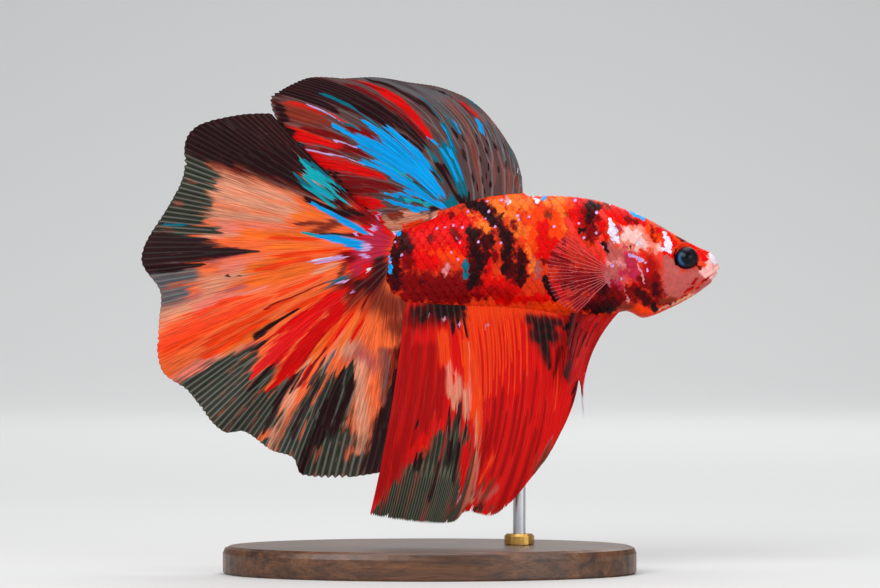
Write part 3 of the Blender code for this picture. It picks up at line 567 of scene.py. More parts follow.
def body_marks(x, z, y):
    """The markings at a place on the body, wavy at their edges, and laid out differently on the left side."""
    left = ease(y / 0.4)
    x = x + left * (0.9 * np.sin(0.8 * z + 0.5) + 0.5 * np.sin(1.3 * x))
    z = z + left * 0.6 * np.sin(0.7 * x + 1.0)
    calm = 1 - 0.55 * ease((x - 24.0) / 2.0)
    shift_x, shift_z = (sum(size * np.sin(per_x * x + per_z * z + start)
                            for size, per_x, per_z, start in waves) for waves in EDGE_WAVES)
    found = marks_at(BODY_MARKS, x + calm * shift_x, z + calm * shift_z)
    spots = [stroke_distance(x, z, (a, b, SPOT_HALF, a + 0.05, b + 0.06, SPOT_HALF)) for a, b in SINGLE_SPOTS]
    found["lavender"] = np.maximum(found["lavender"], np.clip(1.0 - 0.5 * np.min(spots, axis=0), -0.2, 1.0))
    return found


def pigment_group():
    """The pigments laid over each other, their ragged edges drawn out along the second way of the lay."""
    group = bpy.data.node_groups.new("betta_pigments", "ShaderNodeTree")
    colour_kind, value_kind = "NodeSocketColor", "NodeSocketFloat"
    for name, value in (("Ground", (0.5, 0.1, 0.03, 1.0)), ("Ground Opacity", 0.95), ("Ground Lines", 0.0),
                        ("Grain", 3.0), ("Drawn Out", 1.0), ("Raggedness", 0.3), ("Edge", 0.06)):
        kind = colour_kind if name == "Ground" else value_kind
        group.interface.new_socket(name, in_out="INPUT", socket_type=kind).default_value = value
    results = ("Color", "Opacity", "Roughness", "Lines")
    for name, kind in zip(results, (colour_kind, value_kind, value_kind, value_kind)):
        group.interface.new_socket(name, in_out="OUTPUT", socket_type=kind)
    given, result = group.nodes.new("NodeGroupInput").outputs, group.nodes.new("NodeGroupOutput").inputs
    squeeze_along = maths(group, "DIVIDE", 1.0, given["Drawn Out"])
    squeeze = shader_node(group, "CombineXYZ", {"X": 1.0, "Y": squeeze_along, "Z": 1.0})
    drawn = stretched(group, trait_of(group, "lay", "Vector"), squeeze.outputs[0])
    channels = []
    for offset in (0.0, 37.0):
        moved = shader_node(group, "VectorMath", {0: drawn, 1: (offset, offset, 0.0)}, operation="ADD")
        specks = noise(group, moved.outputs[0], given["Grain"], 4.0, 0.68)
        channels += shader_node(group, "SeparateColor", {"Color": specks["Color"]}).outputs[:3]
    colour, laid = given["Ground"], [given["Ground Opacity"], GROUND_ROUGHNESS, given["Ground Lines"]]
    for order, (pigment, values) in enumerate(PIGMENTS.items()):
        pigment_colour, opacity, roughness, softness, lines = values
        shift = maths(group, "SUBTRACT", channels[order % 6], 0.5)
        ragged = maths(group, "MULTIPLY_ADD", shift, given["Raggedness"], trait_of(group, pigment))
        edges = [maths(group, "MULTIPLY_ADD", given["Edge"], way * softness, 0.5) for way in (-1, 1)]
        mask = remapped(group, ragged, edges, (0.0, 1.0), interpolation_type="SMOOTHSTEP")
        colour = laid_over(group, mask, colour, pigment_colour, "RGBA")
        new = (opacity, roughness, lines)
        laid = [laid_over(group, mask, under, upper) for under, upper in zip(laid, new)]
    mottled = scaled(group, colour, remapped(group, channels[4], (0.32, 0.68), (0.8, 1.12)))
    for name, socket in zip(results, (mottled, *laid)):
        group.links.new(socket, result[name])
    return group


pigments = pigment_group()


def body_finish(name, roughness_lift):
    """A wet, slightly see-through finish in the body's pigments: its material, tree, shader and colour."""
    material, tree, shader = finish_of(name, Subsurface_Weight=0.1, Subsurface_Scale=0.0003, Coat_Weight=0.02,
                                       Coat_Roughness=0.15, Specular_IOR_Level=0.06,
                                       Subsurface_Radius=(1.0, 0.35, 0.2))
    mixed = shader_node(tree, "Group", node_tree=pigments)
    ground = tint(*BODY_GROUND)
    for socket, value in (("Ground", ground), ("Grain", 1.9), ("Raggedness", 1.1), ("Edge", 0.055)):
        mixed.inputs[socket].default_value = value
    rough = maths(tree, "ADD", mixed.outputs["Roughness"], roughness_lift)
    tree.links.new(rough, shader.inputs["Roughness"])
    return material, tree, shader, mixed.outputs["Color"]


def grid_faces(rows, columns, closed=False):
    """Quads over a grid of points, and each corner's (row, column), which runs on past a closed seam."""
    i, j = np.meshgrid(np.arange(rows - 1), np.arange(columns if closed else columns - 1), indexing="ij")
    corners = np.stack([np.stack((i + a, j + b), -1) for a, b in ((0, 0), (0, 1), (1, 1), (1, 0))], -2)
    corners = corners.reshape(-1, 4, 2)
    return corners[..., 0] * columns + corners[..., 1] % columns, corners


snout_turns = np.radians(np.linspace(3.0, 90.0, 28))
ring_xs = np.concatenate((
    SNOUT_X - SNOUT_ROUND * (1 - np.cos(snout_turns)),
    np.arange(SNOUT_X - SNOUT_ROUND - HEAD_RING, HEAD_REAR, -HEAD_RING),
    np.arange(HEAD_REAR, STALK_X + STALK_ROUND, -TRUNK_RING),
    STALK_X + STALK_ROUND * (1 - np.sin(np.radians(np.linspace(0.0, 87.0, 14)))),
))
skin_turns = 90.0 - 360.0 * np.arange(SKIN_SIDES) / SKIN_SIDES
grid_x, grid_turn = np.meshgrid(ring_xs, skin_turns, indexing="ij")
skin_points = skin_at(grid_x, grid_turn)[0]
ends = np.array([[x + inset, 0.0, along(WIDEST, x)] for x, inset in ((SNOUT_X, -0.03), (STALK_X, 0.05))])
skin_quads, skin_corners = grid_faces(len(ring_xs), SKIN_SIDES, closed=True)
tip, tail, last_ring = grid_x.size, grid_x.size + 1, (len(ring_xs) - 1) * SKIN_SIDES
fans = [(tip, (j + 1) % SKIN_SIDES, j) for j in range(SKIN_SIDES)]
fans += [(tail, last_ring + j, last_ring + (j + 1) % SKIN_SIDES) for j in range(SKIN_SIDES)]
fan_corners = [(ring, j) for ring in (0, len(ring_xs) - 1) for j in range(SKIN_SIDES) for _ in range(3)]
skin_places = np.concatenate((skin_corners.reshape(-1, 2), fan_corners)) / (len(ring_xs) - 1.0, SKIN_SIDES)
skin_all = np.concatenate((skin_points.reshape(-1, 3), ends))
skin_traits = body_marks(skin_all[:, 0], skin_all[:, 2], skin_all[:, 1])
skin_traits["lay"] = skin_all

skin_finish, skin_tree, skin_shader, skin_colour = body_finish("betta_skin", 0.0)
skin_tree.links.new(skin_colour, skin_shader.inputs["Base Color"])
skin_pores = noise(skin_tree, trait_of(skin_tree, "lay", "Vector"), 7.0, 4.0)
textured(skin_tree, skin_shader, skin_pores["Fac"], 0.5, 0.00003)
skin = joined_piece("skin", skin_all, skin_quads.tolist() + fans, skin_finish, skin_traits, skin_places)
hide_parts("head", "lower_jaw", "gill_cover_right", "gill_cover_left", "trunk", "tail_stalk")
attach(skin, "root")


# The scales: about a thousand thin rounded plates in offset rows, rooted in the skin and lying back over each
# other like tiles from the nape and the gill covers to the root of the tail. Each is mostly one colour.
SCALE_PITCH, SCALE_ROW = 1.07, 0.9  # along a row, and from row to row round the body
SCALE_ROWS, SCALE_COLUMNS = range(-12, 14), range(-6, 30)
SCALE_LONG, SCALE_ROOT, SCALE_HALF_HIGH = 0.82, 0.72, 0.94  # behind its root, ahead of it, half its height
SCALE_LIFT, SCALE_THICK = 0.055, 0.03
SCALE_ALONG, SCALE_ACROSS = 9, 7
SCALE_TILT, SCALE_SIZES = 0.05, (0.95, 1.03)
SCALE_CHART = 0.003  # half the side of each plate's own patch of the chart
CHART_START, CHART_LONG, CHART_ROUND = 7.0, 46.0, 52.0  # from roots in millimetres to places on the chart
CHART_ROWS = {"right": 0.75, "left": 0.25}
GILL_EDGE_CLEAR = 0.15
ROUND_REACH, ROUND_STEPS = 12.0, 240

round_steps = np.linspace(-ROUND_REACH, ROUND_REACH, ROUND_STEPS + 1)
turn_table = np.array([np.interp(round_steps, row, round_turns) for row in round_table])


def turn_at(x, round_body):
    """The turn at a distance round the left side of the body from its widest level."""
    row = np.clip((x - round_xs[0]) / (round_xs[1] - round_xs[0]), 0, len(round_xs) - 1.001)
    column = np.clip((round_body + ROUND_REACH) * (ROUND_STEPS / (2 * ROUND_REACH)), 0, ROUND_STEPS - 0.001)
    i, j = row.astype(int), column.astype(int)
    near, far = (between((turn_table[k, j], turn_table[k, j + 1]), column - j) for k in (i, i + 1))
    return between((near, far), row - i)


def scale_roots():
    """(x, distance round) of every scale on one side, from the tail's root to the gill edge and the nape."""
    roots = []
    for row in SCALE_ROWS:
        for column in SCALE_COLUMNS:
            x, round_body = (column + 0.5 * (row % 2)) * SCALE_PITCH, row * SCALE_ROW
            at = int(np.clip(np.searchsorted(round_xs, x), 0, len(round_xs) - 1))
            lowest, highest = round_table[at, 0], round_table[at, -1]
            if not (STALK_X + 0.5 < x < 30.2 and lowest + 0.25 < round_body < highest - 0.1):
                continue
            z = float(body_point(x, float(turn_at(np.array(x), np.array(round_body))))[2])
            height = min(1.0, abs(z - GILL_CENTRE[1]) / GILL_RADII[1])
            gill_depth = (1 - height ** GILL_POWERS[1]) ** (1 / GILL_POWERS[0])
            gill_edge = GILL_CENTRE[0] - GILL_RADII[0] * gill_depth + GILL_EDGE_CLEAR
            on_nape = z > 41.6 and x < min(29.0 + (z - 42.0) * 0.2, 29.6)
            if x < gill_edge + 0.25 or on_nape:
                roots.append((x, round_body))
    return np.array(roots)


plate_along = np.linspace(0.0, 0.99, SCALE_ALONG)[:, None]
plate_across = np.linspace(-1.0, 1.0, SCALE_ACROSS)[None, :]
root_share = SCALE_ROOT / (SCALE_ROOT + SCALE_LONG)
half_high = np.where(plate_along < root_share, 0.6 + 0.4 * ease(plate_along / root_share),
                     np.sqrt(np.maximum(1 - ((plate_along - root_share) / (1 - root_share)) ** 2, 0.0)))
plate_x = SCALE_ROOT - plate_along * (SCALE_ROOT + SCALE_LONG) + 0 * plate_across
plate_round = plate_across * half_high * SCALE_HALF_HIGH
plate_lift = 0.012 + SCALE_LIFT * plate_along - 0.02 * plate_across ** 2
plate_rim = ease((np.hypot(np.minimum(plate_x, 0.0) / SCALE_LONG, plate_round / SCALE_HALF_HIGH) - 0.7) / 0.3)
plate_quads, _ = grid_faces(SCALE_ALONG, SCALE_ACROSS)
plate_grid = np.arange(SCALE_ALONG * SCALE_ACROSS).reshape(SCALE_ALONG, SCALE_ACROSS)
edge = np.concatenate((plate_grid[0], plate_grid[1:, -1], plate_grid[-1, -2::-1], plate_grid[-2:0:-1, 0]))
edge = edge.tolist()
plate_count = plate_grid.size
skirt = [(edge[k], plate_count + k, plate_count + (k + 1) % len(edge), edge[(k + 1) % len(edge)])
         for k in range(len(edge))]
plate_faces = np.array(plate_quads[:, ::-1].tolist() + [face[::-1] for face in skirt])

local_x, local_round, local_lift, local_rim = (np.concatenate((values.ravel(), values.ravel()[edge]))
                                               for values in (plate_x, plate_round, plate_lift, plate_rim))
local_lift[plate_count:] -= SCALE_THICK
roots = scale_roots()
dice = np.random.default_rng(11)
scale_points, scale_faces, scale_traits, scale_places = [], [], {}, []
for side in ("right", "left"):
    tilt = dice.normal(0.0, SCALE_TILT, (len(roots), 1))
    size = dice.uniform(*SCALE_SIZES, (len(roots), 1))
    far_x = roots[:, :1] + size * (local_x - tilt * local_round)
    far_x = np.clip(far_x, STALK_X + 0.05, SNOUT_X)
    far_round = roots[:, 1:] + size * (local_round + tilt * local_x)
    turns = turn_at(far_x, far_round)
    if side == "right":
        turns = 180.0 - turns
    points, normals = skin_at(far_x, turns)
    calm = 1.0 - 0.6 * ease((roots[:, :1] - 23.5) / 4.0)
    points = points + normals * (local_lift * calm)[..., None]
    middle_x = roots[:, 0] - 0.3
    middle_turn = turn_at(middle_x, roots[:, 1])
    middle = body_point(middle_x, 180.0 - middle_turn if side == "right" else middle_turn)
    own = body_marks(middle[:, 0], middle[:, 2], middle[:, 1])
    each = body_marks(points[..., 0], points[..., 2], points[..., 1])
    traits = {pigment: 0.4 * own[pigment][:, None] + 0.6 * each[pigment] for pigment in own}
    for pigment in ("lavender", "white", "azure"):
        traits[pigment] = each[pigment]
    traits["rim"] = np.broadcast_to(local_rim, far_x.shape)
    traits["tone"] = np.broadcast_to(dice.uniform(0.0, 1.0, (len(roots), 1)), far_x.shape)
    for trait, values in traits.items():
        scale_traits.setdefault(trait, []).append(values.ravel())
    first = sum(len(block) for block in scale_points)
    offsets = first + np.arange(len(roots))[:, None, None] * len(local_x)
    scale_faces.append((plate_faces[None] + offsets).reshape(-1, 4))
    scale_points.append(points.reshape(-1, 3))
    chart = np.stack(np.broadcast_arrays(
        (roots[:, :1] + CHART_START) / CHART_LONG + SCALE_CHART * local_x / 1.6,
        CHART_ROWS[side] + roots[:, 1:] / CHART_ROUND + SCALE_CHART * local_round / 1.9), -1)
    scale_places.append(chart.reshape(-1, 2))
scale_points, scale_faces = np.concatenate(scale_points), np.concatenate(scale_faces)
scale_traits = {trait: np.concatenate(values) for trait, values in scale_traits.items()}
scale_traits["lay"] = scale_points
scale_places = np.concatenate(scale_places)[scale_faces.ravel()]

scale_finish, scale_tree, scale_shader, scale_colour = body_finish("betta_scales", -0.04)
own_shade = remapped(scale_tree, trait_of(scale_tree, "tone"), (0.0, 1.0), (0.88, 1.12))
edge_shade = remapped(scale_tree, trait_of(scale_tree, "rim"), (0.0, 1.0), (1.05, 0.86))
shaded = scaled(scale_tree, scale_colour, maths(scale_tree, "MULTIPLY", own_shade, edge_shade))
scale_tree.links.new(shaded, scale_shader.inputs["Base Color"])
striae = noise(scale_tree, trait_of(scale_tree, "lay", "Vector"), 9.0, 3.0)
textured(scale_tree, scale_shader, striae["Fac"], 0.4, 0.00003)
scales = joined_piece("scales", scale_points, scale_faces, scale_finish, scale_traits, scale_places)
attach(scales, "root")


# The eyes: dark glossy balls, a little domed, in shallow orbits. The iris is blue-black with a blue gleam
# on its rear side and the pupil is black. They have no lids.
EYE_OUT, EYE_DEEP, EYE_DOME = 1.4, 1.06, 0.1
EYE_RINGS, EYE_SIDES = 40, 72
PUPIL_SHARE = 0.5
IRIS_RINGS = (  # from the middle outwards: (share of the radius, colour)
    (0.0, (0.002, 0.002, 0.004, 1)), (PUPIL_SHARE, (0.002, 0.002, 0.004, 1)),
    (PUPIL_SHARE + 0.05, (0.009, 0.009, 0.018, 1)), (0.8, (0.006, 0.005, 0.012, 1)),
    (0.93, (0.012, 0.004, 0.007, 1)), (1.0, (0.05, 0.012, 0.01, 1)),
)
GLEAM_COLOUR, GLEAM_TURN, GLEAM_SHARE, GLEAM_WIDTH = (60, 130, 190), 0.15, 0.66, 0.13

eye_finish, eye_tree, eye_shader = finish_of("betta_eye", Roughness=0.3, Coat_Weight=0.22,
                                             Coat_Roughness=0.03, Coat_IOR=1.35, Specular_IOR_Level=0.1)
iris_flecks = noise(eye_tree, trait_of(eye_tree, "lay", "Vector"), 5.0, 3.0)
ring_colours = shader_node(eye_tree, "ValToRGB", {"Fac": trait_of(eye_tree, "ring")})
while len(ring_colours.color_ramp.elements) < len(IRIS_RINGS):
    ring_colours.color_ramp.elements.new(0.5)
for element, (place, colour) in zip(ring_colours.color_ramp.elements, IRIS_RINGS):
    element.position, element.color = place, colour
gleam_mask = maths(eye_tree, "MULTIPLY", trait_of(eye_tree, "gleam"), iris_flecks["Fac"])
iris = laid_over(eye_tree, gleam_mask, ring_colours.outputs["Color"], tint(*GLEAM_COLOUR), "RGBA")
eye_tree.links.new(iris, eye_shader.inputs["Base Color"])
eye_turns = 2 * math.pi * np.arange(EYE_SIDES) / EYE_SIDES
lift, round_eye = np.meshgrid(np.linspace(0.0, math.pi, EYE_RINGS), eye_turns, indexing="ij")
eye_quads = grid_faces(EYE_RINGS, EYE_SIDES, closed=True)[0]
for side, sign in (("right", -1.0), ("left", 1.0)):
    share = np.sin(lift)
    eye_y = EYE_OUT + EYE_DEEP * np.cos(lift) + EYE_DOME * bell(share, 0.55) * (np.cos(lift) > 0)
    eye_points = np.stack((EYE_X + 0 * lift + EYE_RADIUS * share * np.cos(round_eye), sign * eye_y,
                           EYE_Z + EYE_RADIUS * share * np.sin(round_eye)), -1)
    rearward = ease((-np.cos(round_eye - GLEAM_TURN) - 0.35) / 0.5)
    eye_traits = {"ring": np.where(np.cos(lift) > 0, share, 1.0).ravel(), "lay": eye_points.reshape(-1, 3),
                  "gleam": (rearward * bell(share - GLEAM_SHARE, GLEAM_WIDTH)).ravel()}
    outward_quads = eye_quads if side == "left" else eye_quads[:, ::-1]
    eye = joined_piece(f"eyeball_{side}", eye_points.reshape(-1, 3), outward_quads, eye_finish, eye_traits)
    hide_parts(f"eye_{side}")
    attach(eye, "root")


# The tail fin: a thin rayed sheet spread to a half moon from the end of the tail stalk. Each of its thirteen
# rays forks three times on the way out, and the tips stand a little past the membrane between them.
CAUDAL_CENTRE = (-4.8, 38.8)
CAUDAL_ROOT = (1.5, 4.5)
CAUDAL_ROOT_TURN = (101.0, 236.0)
CAUDAL_TURN = (128.5, 268.0)
CAUDAL_TUCK, TUCK_SHARE, TUCK_FOOT, TUCK_BOW = 5.0, 0.15, (2.7, -1.0), -2.4
CAUDAL_BOW = (-0.4, 0.9)
CAUDAL_REACH = ((128.5, 24.3), (137.0, 27.3), (147.0, 30.3), (157.0, 28.4), (165.0, 28.9), (178.5, 31.4),
                (186.5, 29.3), (194.0, 30.2), (204.7, 31.8), (212.0, 30.2), (225.0, 29.8), (228.5, 28.1),
                (237.0, 27.9), (243.0, 27.3), (247.0, 28.8), (264.0, 26.0), (268.0, 25.8))
CAUDAL_RAYS, CAUDAL_FORKS = 13, (0.2, 0.42, 0.64)
FIN_FRINGE, FIN_FLAME = 0.006, 0.055  # how far the membrane stops short of the tips, and colours lick out
FLAME_LICKS = ((0.5, 2.3, 1.0), (0.5, 5.1, 2.0), (0.6, 14.0, 3.0))  # (size, steps for each ray, seed)
CAUDAL_LEAN = (-1.3, 1.3)
# Folds and ripples: (height at the edge, power of the way out, radians along the fin, start).
CAUDAL_FOLD, CAUDAL_RIPPLE = (0.85, 1.4, 43.0, 1.0), (0.1, 2, 2 * math.pi * CAUDAL_RAYS, 0.0)
CAUDAL_MARKS = {
    "clay": ((140, 400, 10, 142, 840, 13), (600, 660, 8, 592, 900, 10), (935, 300, 10, 945, 600, 8)),
    "flesh": (
        (860, 340, 22, 900, 380, 25), (360, 620, 10, 370, 720, 10), (600, 620, 10, 605, 680, 10),
        (445, 600, 6, 450, 900, 12),
    ),
    "peach": (
        (175, 480, 15, 190, 820, 30), (210, 420, 15, 220, 840, 30), (250, 500, 15, 270, 820, 20),
        (310, 660, 8, 315, 780, 12), (400, 560, 12, 425, 760, 22), (455, 760, 10, 462, 1080, 18),
        (582, 680, 10, 583, 840, 12), (455, 200, 14, 470, 280, 8), (735, 500, 8, 750, 620, 12),
        (750, 600, 10, 775, 980, 10), (820, 380, 12, 850, 320, 20), (890, 420, 16, 908, 620, 14),
        (910, 600, 12, 925, 860, 8), (800, 400, 8, 790, 520, 6), (285, 540, 6, 290, 700, 8),
    ),
    "salmon": (
        (280, 440, 14, 300, 720, 16), (385, 500, 10, 390, 660, 12), (460, 500, 8, 465, 800, 12),
        (570, 660, 8, 575, 980, 10), (780, 300, 10, 790, 420, 8),
    ),
    "amber": (
        (300, 400, 20, 310, 600, 20), (350, 300, 20, 345, 460, 14), (400, 360, 16, 400, 540, 16),
        (440, 340, 18, 440, 560, 16), (570, 500, 12, 570, 740, 12), (800, 240, 16, 800, 380, 16),
        (735, 260, 12, 740, 500, 10), (200, 340, 16, 220, 420, 16),
    ),
    "orange": (
        (400, 300, 8, 410, 500, 8), (560, 500, 8, 565, 800, 8), (505, 500, 12, 510, 960, 24),
        (535, 400, 8, 545, 800, 10), (475, 600, 6, 480, 850, 8), (755, 180, 25, 755, 400, 12),
        (830, 160, 20, 840, 260, 12), (955, 300, 12, 962, 620, 10), (710, 200, 10, 720, 340, 10),
        (310, 300, 8, 315, 500, 8), (370, 200, 12, 380, 420, 10), (580, 240, 12, 570, 400, 10),
        (490, 260, 8, 500, 440, 10),
    ),
    "red": (
        (0, 50, 50, 620, 40, 45), (0, 160, 50, 50, 130, 45), (400, 120, 30, 500, 100, 30),
        (604, 360, 10, 607, 540, 5), (355, 720, 3, 358, 840, 6), (80, 540, 3, 78, 780, 7),
        (754, 500, 6, 765, 600, 10), (850, 180, 8, 838, 300, 6), (990, 860, 12, 1000, 1000, 12),
        (770, 200, 6, 765, 340, 5),
    ),
    "scarlet": (
        (618, 240, 30, 638, 460, 36), (638, 440, 30, 652, 600, 26), (652, 580, 20, 654, 740, 4),
        (690, 280, 30, 697, 480, 30), (698, 460, 24, 706, 620, 20), (706, 600, 17, 709, 740, 3),
        (610, 250, 20, 700, 270, 30),
    ),
    "rose": (
        (180, 10, 20, 500, 20, 25), (240, 50, 20, 460, 70, 25), (20, 60, 12, 160, 50, 12),
        (500, 100, 12, 560, 100, 12),
    ),
    "crimson": (
        (560, 160, 25, 700, 140, 50), (0, 120, 30, 120, 140, 30), (600, 220, 12, 670, 240, 14),
        (0, 260, 40, 50, 300, 30), (120, 160, 20, 160, 220, 20), (525, 220, 3.5, 530, 500, 3),
        (757, 420, 4, 762, 640, 6), (400, 140, 14, 460, 120, 12), (625, 300, 4, 632, 500, 4),
        (250, 120, 10, 280, 200, 12), (975, 500, 12, 990, 800, 20), (660, 50, 50, 820, 30, 50),
        (780, 100, 20, 800, 160, 10), (675, 320, 5, 680, 480, 4),
    ),
    "smoke": (
        (170, 940, 30, 300, 900, 35), (190, 900, 30, 185, 1080, 50), (235, 900, 30, 235, 1080, 50),
        (280, 880, 30, 285, 1080, 50), (180, 1030, 30, 310, 1030, 35), (594, 720, 8, 590, 1080, 16),
        (200, 840, 6, 200, 940, 10), (285, 800, 10, 290, 900, 20), (305, 740, 8, 310, 900, 12),
        (250, 830, 6, 250, 940, 10), (605, 620, 6, 600, 1080, 24), (622, 680, 12, 630, 1080, 28),
        (650, 740, 12, 655, 1080, 28), (675, 600, 8, 680, 1080, 26), (705, 740, 12, 705, 1080, 26),
        (730, 620, 10, 730, 1080, 26), (800, 540, 12, 800, 1080, 24), (835, 500, 16, 840, 1080, 34),
        (875, 440, 14, 885, 1080, 34), (920, 880, 12, 920, 1080, 24), (760, 960, 10, 760, 1080, 16),
        (585, 940, 6, 585, 1080, 10), (610, 840, 30, 740, 840, 30), (810, 760, 30, 890, 800, 30),
        (800, 940, 30, 900, 940, 30),
    ),
    "slate": (
        (395, 800, 14, 405, 1060, 34), (430, 880, 14, 435, 1060, 22), (0, 960, 30, 150, 1000, 20),
        (620, 860, 12, 620, 1000, 20), (800, 440, 6, 800, 520, 8), (550, 160, 14, 530, 220, 8),
    ),
    "rust": (
        (200, 240, 14, 270, 300, 18), (230, 300, 10, 250, 420, 6), (860, 50, 35, 1000, 50, 50),
        (950, 140, 30, 1000, 200, 40), (470, 150, 8, 520, 170, 8), (960, 360, 12, 985, 440, 20),
        (125, 420, 6, 130, 600, 6), (150, 740, 8, 155, 860, 8), (700, 120, 12, 720, 220, 6),
    ),
    "maroon": (
        (960, 300, 16, 965, 800, 20), (500, 0, 12, 780, 0, 35), (0, 340, 30, 100, 280, 30),
        (80, 200, 20, 140, 240, 20), (970, 300, 10, 990, 560, 20), (680, 60, 20, 740, 60, 20),
        (120, 500, 20, 130, 700, 20), (620, 120, 10, 680, 100, 20), (780, 440, 4, 785, 600, 6),
        (745, 560, 4, 750, 660, 6),
    ),
    "black": (
        (0, 520, 25, 0, 1080, 50), (50, 580, 30, 50, 1080, 50), (0, 400, 20, 70, 360, 20),
        (110, 300, 12, 105, 600, 26), (100, 600, 40, 120, 1080, 45), (140, 800, 14, 150, 1000, 20),
        (70, 160, 8, 130, 220, 12), (360, 540, 3, 355, 740, 12), (350, 740, 14, 345, 1080, 36),
        (330, 780, 5, 320, 1080, 16), (375, 760, 4, 380, 1080, 16), (577, 380, 3, 583, 600, 6),
        (718, 380, 4, 720, 560, 6), (670, 340, 4, 672, 420, 3), (270, 140, 6, 275, 260, 5),
        (860, 440, 10, 862, 800, 14), (850, 600, 8, 840, 1080, 8), (885, 500, 6, 880, 800, 6),
        (965, 500, 10, 970, 1080, 24), (945, 620, 8, 946, 1080, 18), (958, 400, 6, 950, 700, 10),
        (990, 580, 8, 1000, 1080, 20), (800, 600, 6, 800, 900, 6), (605, 560, 3, 610, 660, 4),
        (672, 620, 3, 668, 800, 4), (732, 580, 5, 745, 900, 6), (407, 635, 3, 412, 640, 3),
        (20, 340, 14, 30, 500, 16), (140, 240, 14, 150, 400, 10),
    ),
    "turquoise": (
        (20, 400, 10, 40, 500, 12), (45, 360, 12, 55, 500, 14), (85, 340, 14, 70, 500, 10),
        (118, 290, 10, 100, 420, 12), (35, 500, 6, 28, 620, 3), (64, 240, 5, 58, 360, 8),
        (292, 250, 12, 287, 330, 8), (330, 100, 10, 360, 80, 6),
    ),
    "teal": (
        (10, 360, 8, 20, 560, 8), (100, 420, 10, 90, 540, 6), (298, 880, 2, 297, 980, 3),
        (535, 170, 8, 550, 220, 8),
    ),
    "azure": (
        (225, 100, 12, 190, 160, 24), (185, 170, 22, 170, 260, 14), (168, 260, 12, 155, 380, 5),
        (375, 80, 12, 320, 130, 26), (315, 140, 26, 297, 220, 20), (300, 220, 18, 292, 280, 10),
        (90, 360, 3, 82, 420, 3),
    ),
    "lavender": (
        (100, 65, 6, 170, 65, 6), (240, 140, 4, 260, 130, 4), (330, 70, 9, 390, 60, 10),
        (420, 170, 12, 419, 270, 11), (420, 80, 6, 470, 45, 5), (570, 155, 6, 555, 175, 6),
        (655, 155, 4, 670, 150, 4), (210, 80, 6, 230, 60, 6),
    ),
    "white": ((560, 45, 6, 590, 45, 5), (410, 200, 3, 412, 270, 3)),
}


def wander(t, seed=0.0):
    """A smooth random value from -1 to 1 that changes once for each whole step of t."""
    step = np.floor(t)
    low, high = (np.mod(np.sin((step + k) * 12.9898 + seed) * 43758.5453, 1.0) * 2 - 1 for k in (0, 1))
    return low + (high - low) * ease(t - step)


def bowed(root, tip, bow, r):
    """Points (..., x and z) on rays from root to tip. The bow is to a ray's right as it runs out."""
    out = tip - root
    aside = np.stack((out[..., 1], -out[..., 0]), -1) / np.linalg.norm(out, axis=-1, keepdims=True)
    return root + out * r[..., None] + aside * (4 * bow * r * (1 - r))[..., None]


def forked(u, r, rays, forks):
    """How far a place is from the nearest ray or branch, in widths of the space between two whole rays."""
    away = np.abs(np.mod(u * rays, 1.0) - 0.5) + 0 * r
    for order, start in enumerate(forks):
        away = np.abs(away - 0.25 / 2 ** order * ease((r - start) / 0.16))
    return away


